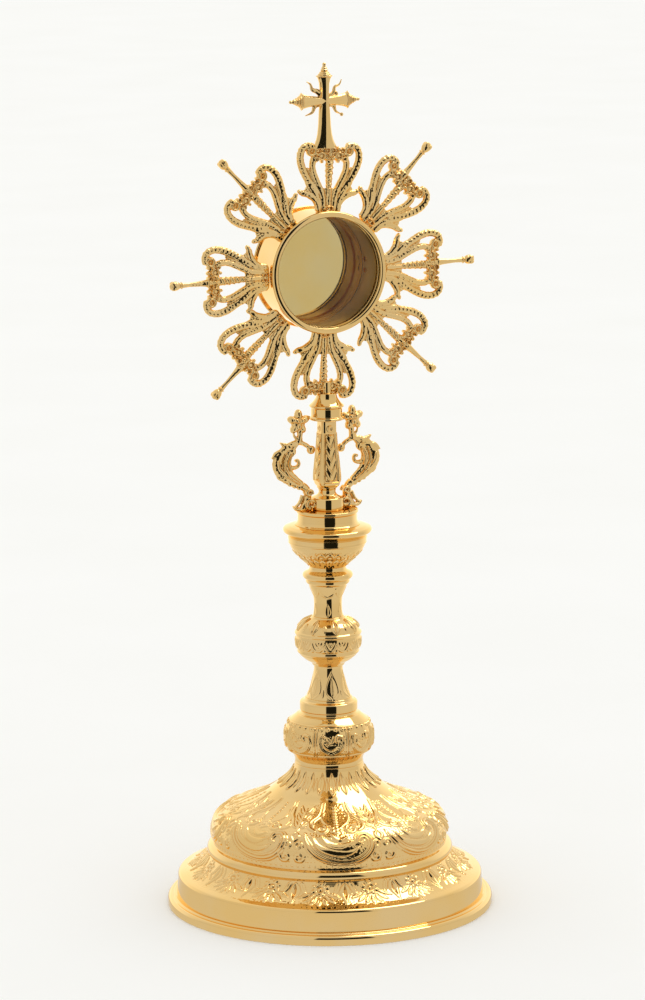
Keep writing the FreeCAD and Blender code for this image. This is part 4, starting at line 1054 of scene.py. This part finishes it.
def bar_section(casting, stations, place):
    """A bar with a ridged front and back, swept through (distance along, half width) stations."""
    front = 2.0
    section = [(1.0, 0.25), (0.74, 0.7), (0.0, 1.0)]
    section += [(-u, v) for u, v in section[-2::-1]]
    section += [(u, -v) for u, v in section[::-1]]
    vertices = []
    for distance, half in stations:
        x, z = place(distance)
        along_x = abs(place(1.0)[0] - place(0.0)[0]) > 0.5
        for u, v in section:
            vertices.append((x, v * front, z + u * half) if along_x else (x + u * half, v * front, z))
    n, count = len(section), len(stations)
    faces = list(ring_faces(count, n, closed=False))
    faces += [list(range(n)), list(range((count - 1) * n, count * n))]
    casting._add(vertices, faces)


# ---------------------------------------------------------------- case
def case_drum():
    depth = (case_high.y - case_low.y) / MM
    drum = Outline(21.6, 0.0).line((23.4, 0.0), (23.4, depth), (22.4, depth), (22.4, 0.8), (21.6, 0.8))
    obj = turned("case_drum", drum, 512, [(21.6, 0.4)], wobble=0.03, about_case=True)
    line_inside(obj, 22.9)


def line_inside(obj, radius):
    """Faces of a case piece that lie nearer to the axis than a radius get the satin finish."""
    mesh = obj.data
    mesh.materials.append(FINISHES["gilt_satin"])
    centre = Vector((0, 0, HEAD_Z * MM))
    for face in mesh.polygons:
        out = face.center - centre
        if math.hypot(out.x, out.z) < radius * MM and abs(face.normal.y) < 0.5:
            face.material_index = len(mesh.materials) - 1


def bezel_ring():
    ring = Outline(23.4, 0.0).line((21.6, 0.0), (21.6, -1.2)).arc((22.3, -2.4), (23.2, -2.4))
    ring.arc((24.1, -1.8), (24.2, -0.8)).line((24.2, 0.9), (23.4, 0.9))
    turned("bezel_ring", ring, 512, [(23.4, 0.45)], wobble=0.03, about_case=True)


# ---------------------------------------------------------------- finishes
# the fourth number sets the painted shade in the hollows, which also adds roughness there
gilt("gilt_polished", 0.045, 0.02, 0.35, lines=True)
gilt("gilt_chased", 0.055, 0.03, 0.9)
gilt("gilt_cast", 0.09, 0.06, 0.9)
gilt("gilt_satin", 0.5, 0.06, 0.9, metal=0.6, warm=0.1)
clear_glass()
rod_steel()

foot_rim()
foot_shell()
neck_collar()
lower_knop()
knop_ring()
lower_vase()
middle_node()
upper_vase()
disc_collar()
cup()
cup_collar()
bracket_plinth()
baluster()
baluster_cap()
scroll_bracket()
palmette()
ray()
cross()
case_drum()
bezel_ring()

kept_finish = {"front_glass": "clear_glass", "tie_rod": "rod_steel", "rod_nut": "rod_steel", "head_stud": "rod_steel"}
for node_name, obj in frame["nodes"].items():
    if not obj.hide_render:
        finish = kept_finish.get(node_name, "gilt_polished")
        for material_slot in obj.material_slots:
            material_slot.material = FINISHES[finish]
        if node_name == "glass_retainer":
            line_inside(obj, 23.0)


# ---------------------------------------------------------------- studio
DARK_FROM, DARK_TO = math.radians(-35.3), math.radians(8.7)
# where the floor's painted dark band begins, in metres in front of the object
DARK_FLOOR_START = 0.19
DARK_TOP = math.radians(50)
ROOM_WHITE = (1.0, 1.0, 0.985, 1)
BLACK = (0.012, 0.013, 0.012, 1)
TENT = 0.72
HORIZON = 0.67
BACK_GLOW = 1.3


def dark_sector(n, x, y):
    """1 towards the dark gap in the tent, seen from the object: an angle range to the left of the front."""
    azimuth = n.math("ARCTAN2", x, n.math("MULTIPLY", y, -1.0))
    middle, half = (DARK_FROM + DARK_TO) / 2, (DARK_TO - DARK_FROM) / 2
    off = n.math("ABSOLUTE", n.math("SUBTRACT", azimuth, middle))
    return n.math("SUBTRACT", 1.0, n.ramp(n.math("DIVIDE", off, half), (0.88, 0.0), (1.0, 1.0)))


def tent_glow(n, rise, x, y):
    """Brightness of the tent in polished metal: dimmer in a soft band along the horizon, brighter at the back."""
    front = n.ramp(n.math("ABSOLUTE", rise), (0.06, HORIZON), (0.42, TENT))
    size = n.math("SQRT", n.math("ADD", n.math("MULTIPLY", x, x), n.math("MULTIPLY", y, y)))
    view_x, view_y = math.sin(math.radians(CAMERA_AZIMUTH)), -math.cos(math.radians(CAMERA_AZIMUTH))
    toward = n.math("DIVIDE", n.math("ADD", n.math("MULTIPLY", x, view_x), n.math("MULTIPLY", y, view_y)), size)
    back = n.ramp(n.math("MULTIPLY", toward, -1.0), (0.25, 0.0), (0.95, 1.0))
    back = n.math("MULTIPLY", back, n.ramp(n.math("ABSOLUTE", rise), (0.2, 1.0), (0.6, 0.3)))
    return n.mix(back, front, (BACK_GLOW, BACK_GLOW, BACK_GLOW, 1))


def world():
    """White tent; polished metal also sees the dark gap through which the camera looks in."""
    scene_world = bpy.data.worlds.new("tent")
    bpy.context.scene.world = scene_world
    scene_world.use_nodes = True
    n = Nodes(scene_world.node_tree)
    direction = n.add("TexCoord").outputs["Generated"]
    x, y, z = n.add("SeparateXYZ", {0: direction}).outputs
    low = n.math("SUBTRACT", 1.0, n.ramp(n.math("DIVIDE", n.math("ARCSINE", z), DARK_TOP), (0.9, 0.0), (1.0, 1.0)))
    glow_seen_in_metal = n.mix(n.math("MULTIPLY", dark_sector(n, x, y), low), tent_glow(n, z, x, y), BLACK)
    colour = n.mix(n.add("LightPath").outputs["Is Glossy Ray"], ROOM_WHITE, glow_seen_in_metal)
    background = n.add("Background", {"Color": colour, "Strength": 1.0})
    n.add("OutputWorld", {0: background.outputs[0]})


def floor():
    """Pale seamless floor. To glossy rays it glows instead, with painted tent brightness near the object and a painted
    dark band towards the dark gap beyond that lit patch.
    """
    size = 6.0
    vertices = [(-size, -size, 0), (size, -size, 0), (size, size, 0), (-size, size, 0)]
    mesh = mesh_from("floor", np.array(vertices) / MM, [(0, 1, 2, 3)])
    obj = bpy.data.objects.new("floor", mesh)
    bpy.context.scene.collection.objects.link(obj)
    material, n = new_material("floor_paper_painted_glow")
    place = n.add("TexCoord").outputs["Object"]
    x, y, _ = n.add("SeparateXYZ", {0: place}).outputs
    mottled = n.noise(place, 9.0, 4.0)
    paper = n.ramp(mottled, (0.3, (0.95, 0.95, 0.93)), (0.7, (0.965, 0.965, 0.95)))
    grain = n.add("Bump", {"Strength": 0.05, "Distance": 0.0002, "Height": n.noise(place, 700.0)})
    lit = n.add("BsdfDiffuse", {"Color": paper, "Normal": grain.outputs[0]}).outputs[0]
    # painted light seen only by glossy rays: the floor emits the tent's brightness, and black towards the dark gap
    # beyond DARK_FLOOR_START
    forward = n.math("MULTIPLY", y, -1.0)
    beyond = n.ramp(n.math("SUBTRACT", forward, DARK_FLOOR_START - 0.02), (0.0, 0.0), (0.04, 1.0))
    distance = n.math("SQRT", n.math("ADD", n.math("MULTIPLY", x, x), n.math("MULTIPLY", y, y)))
    tent = tent_glow(n, n.math("DIVIDE", 0.15, distance), x, y)
    glow = n.mix(n.math("MULTIPLY", dark_sector(n, x, y), beyond), tent, BLACK)
    glow_seen_in_metal = n.add("Emission", {"Color": glow}).outputs[0]
    glossy = n.add("LightPath").outputs["Is Glossy Ray"]
    n.add("OutputMaterial", {0: n.add("MixShader", {0: glossy, 1: lit, 2: glow_seen_in_metal}).outputs[0]})
    mesh.materials.append(material)


def softbox(name, position, target, size, power):
    light = bpy.data.lights.new(name, "AREA")
    light.shape = "SQUARE"
    light.size = size
    light.energy = power
    obj = bpy.data.objects.new(name, light)
    bpy.context.scene.collection.objects.link(obj)
    obj.location = position
    obj.rotation_euler = (Vector(target) - Vector(position)).to_track_quat("-Z", "Y").to_euler()
    obj.visible_diffuse = False


def camera():
    """The photo's view: from the front left, eleven degrees down, from 1.7 m, leaning a touch."""
    distance, eye_height, pitch, roll, focal = 1.7, 0.494, 79.0, -0.41, 157.9
    data = bpy.data.cameras.new("camera")
    data.lens = focal
    data.shift_x = -0.0047
    obj = bpy.data.objects.new("camera", data)
    bpy.context.scene.collection.objects.link(obj)
    azimuth = math.radians(CAMERA_AZIMUTH)
    place = Matrix.Translation((math.sin(azimuth) * distance, -math.cos(azimuth) * distance, eye_height))
    turn = Matrix.Rotation(azimuth, 4, "Z") @ Matrix.Rotation(math.radians(pitch), 4, "X")
    obj.matrix_world = place @ turn @ Matrix.Rotation(math.radians(roll), 4, "Z")
    bpy.context.scene.camera = obj


world()
floor()
softbox("key", (0.35, 0.10, 0.90), (0, 0, 0.12), 0.50, 3.0)
camera()
bpy.context.scene.view_settings.view_transform = "Standard"
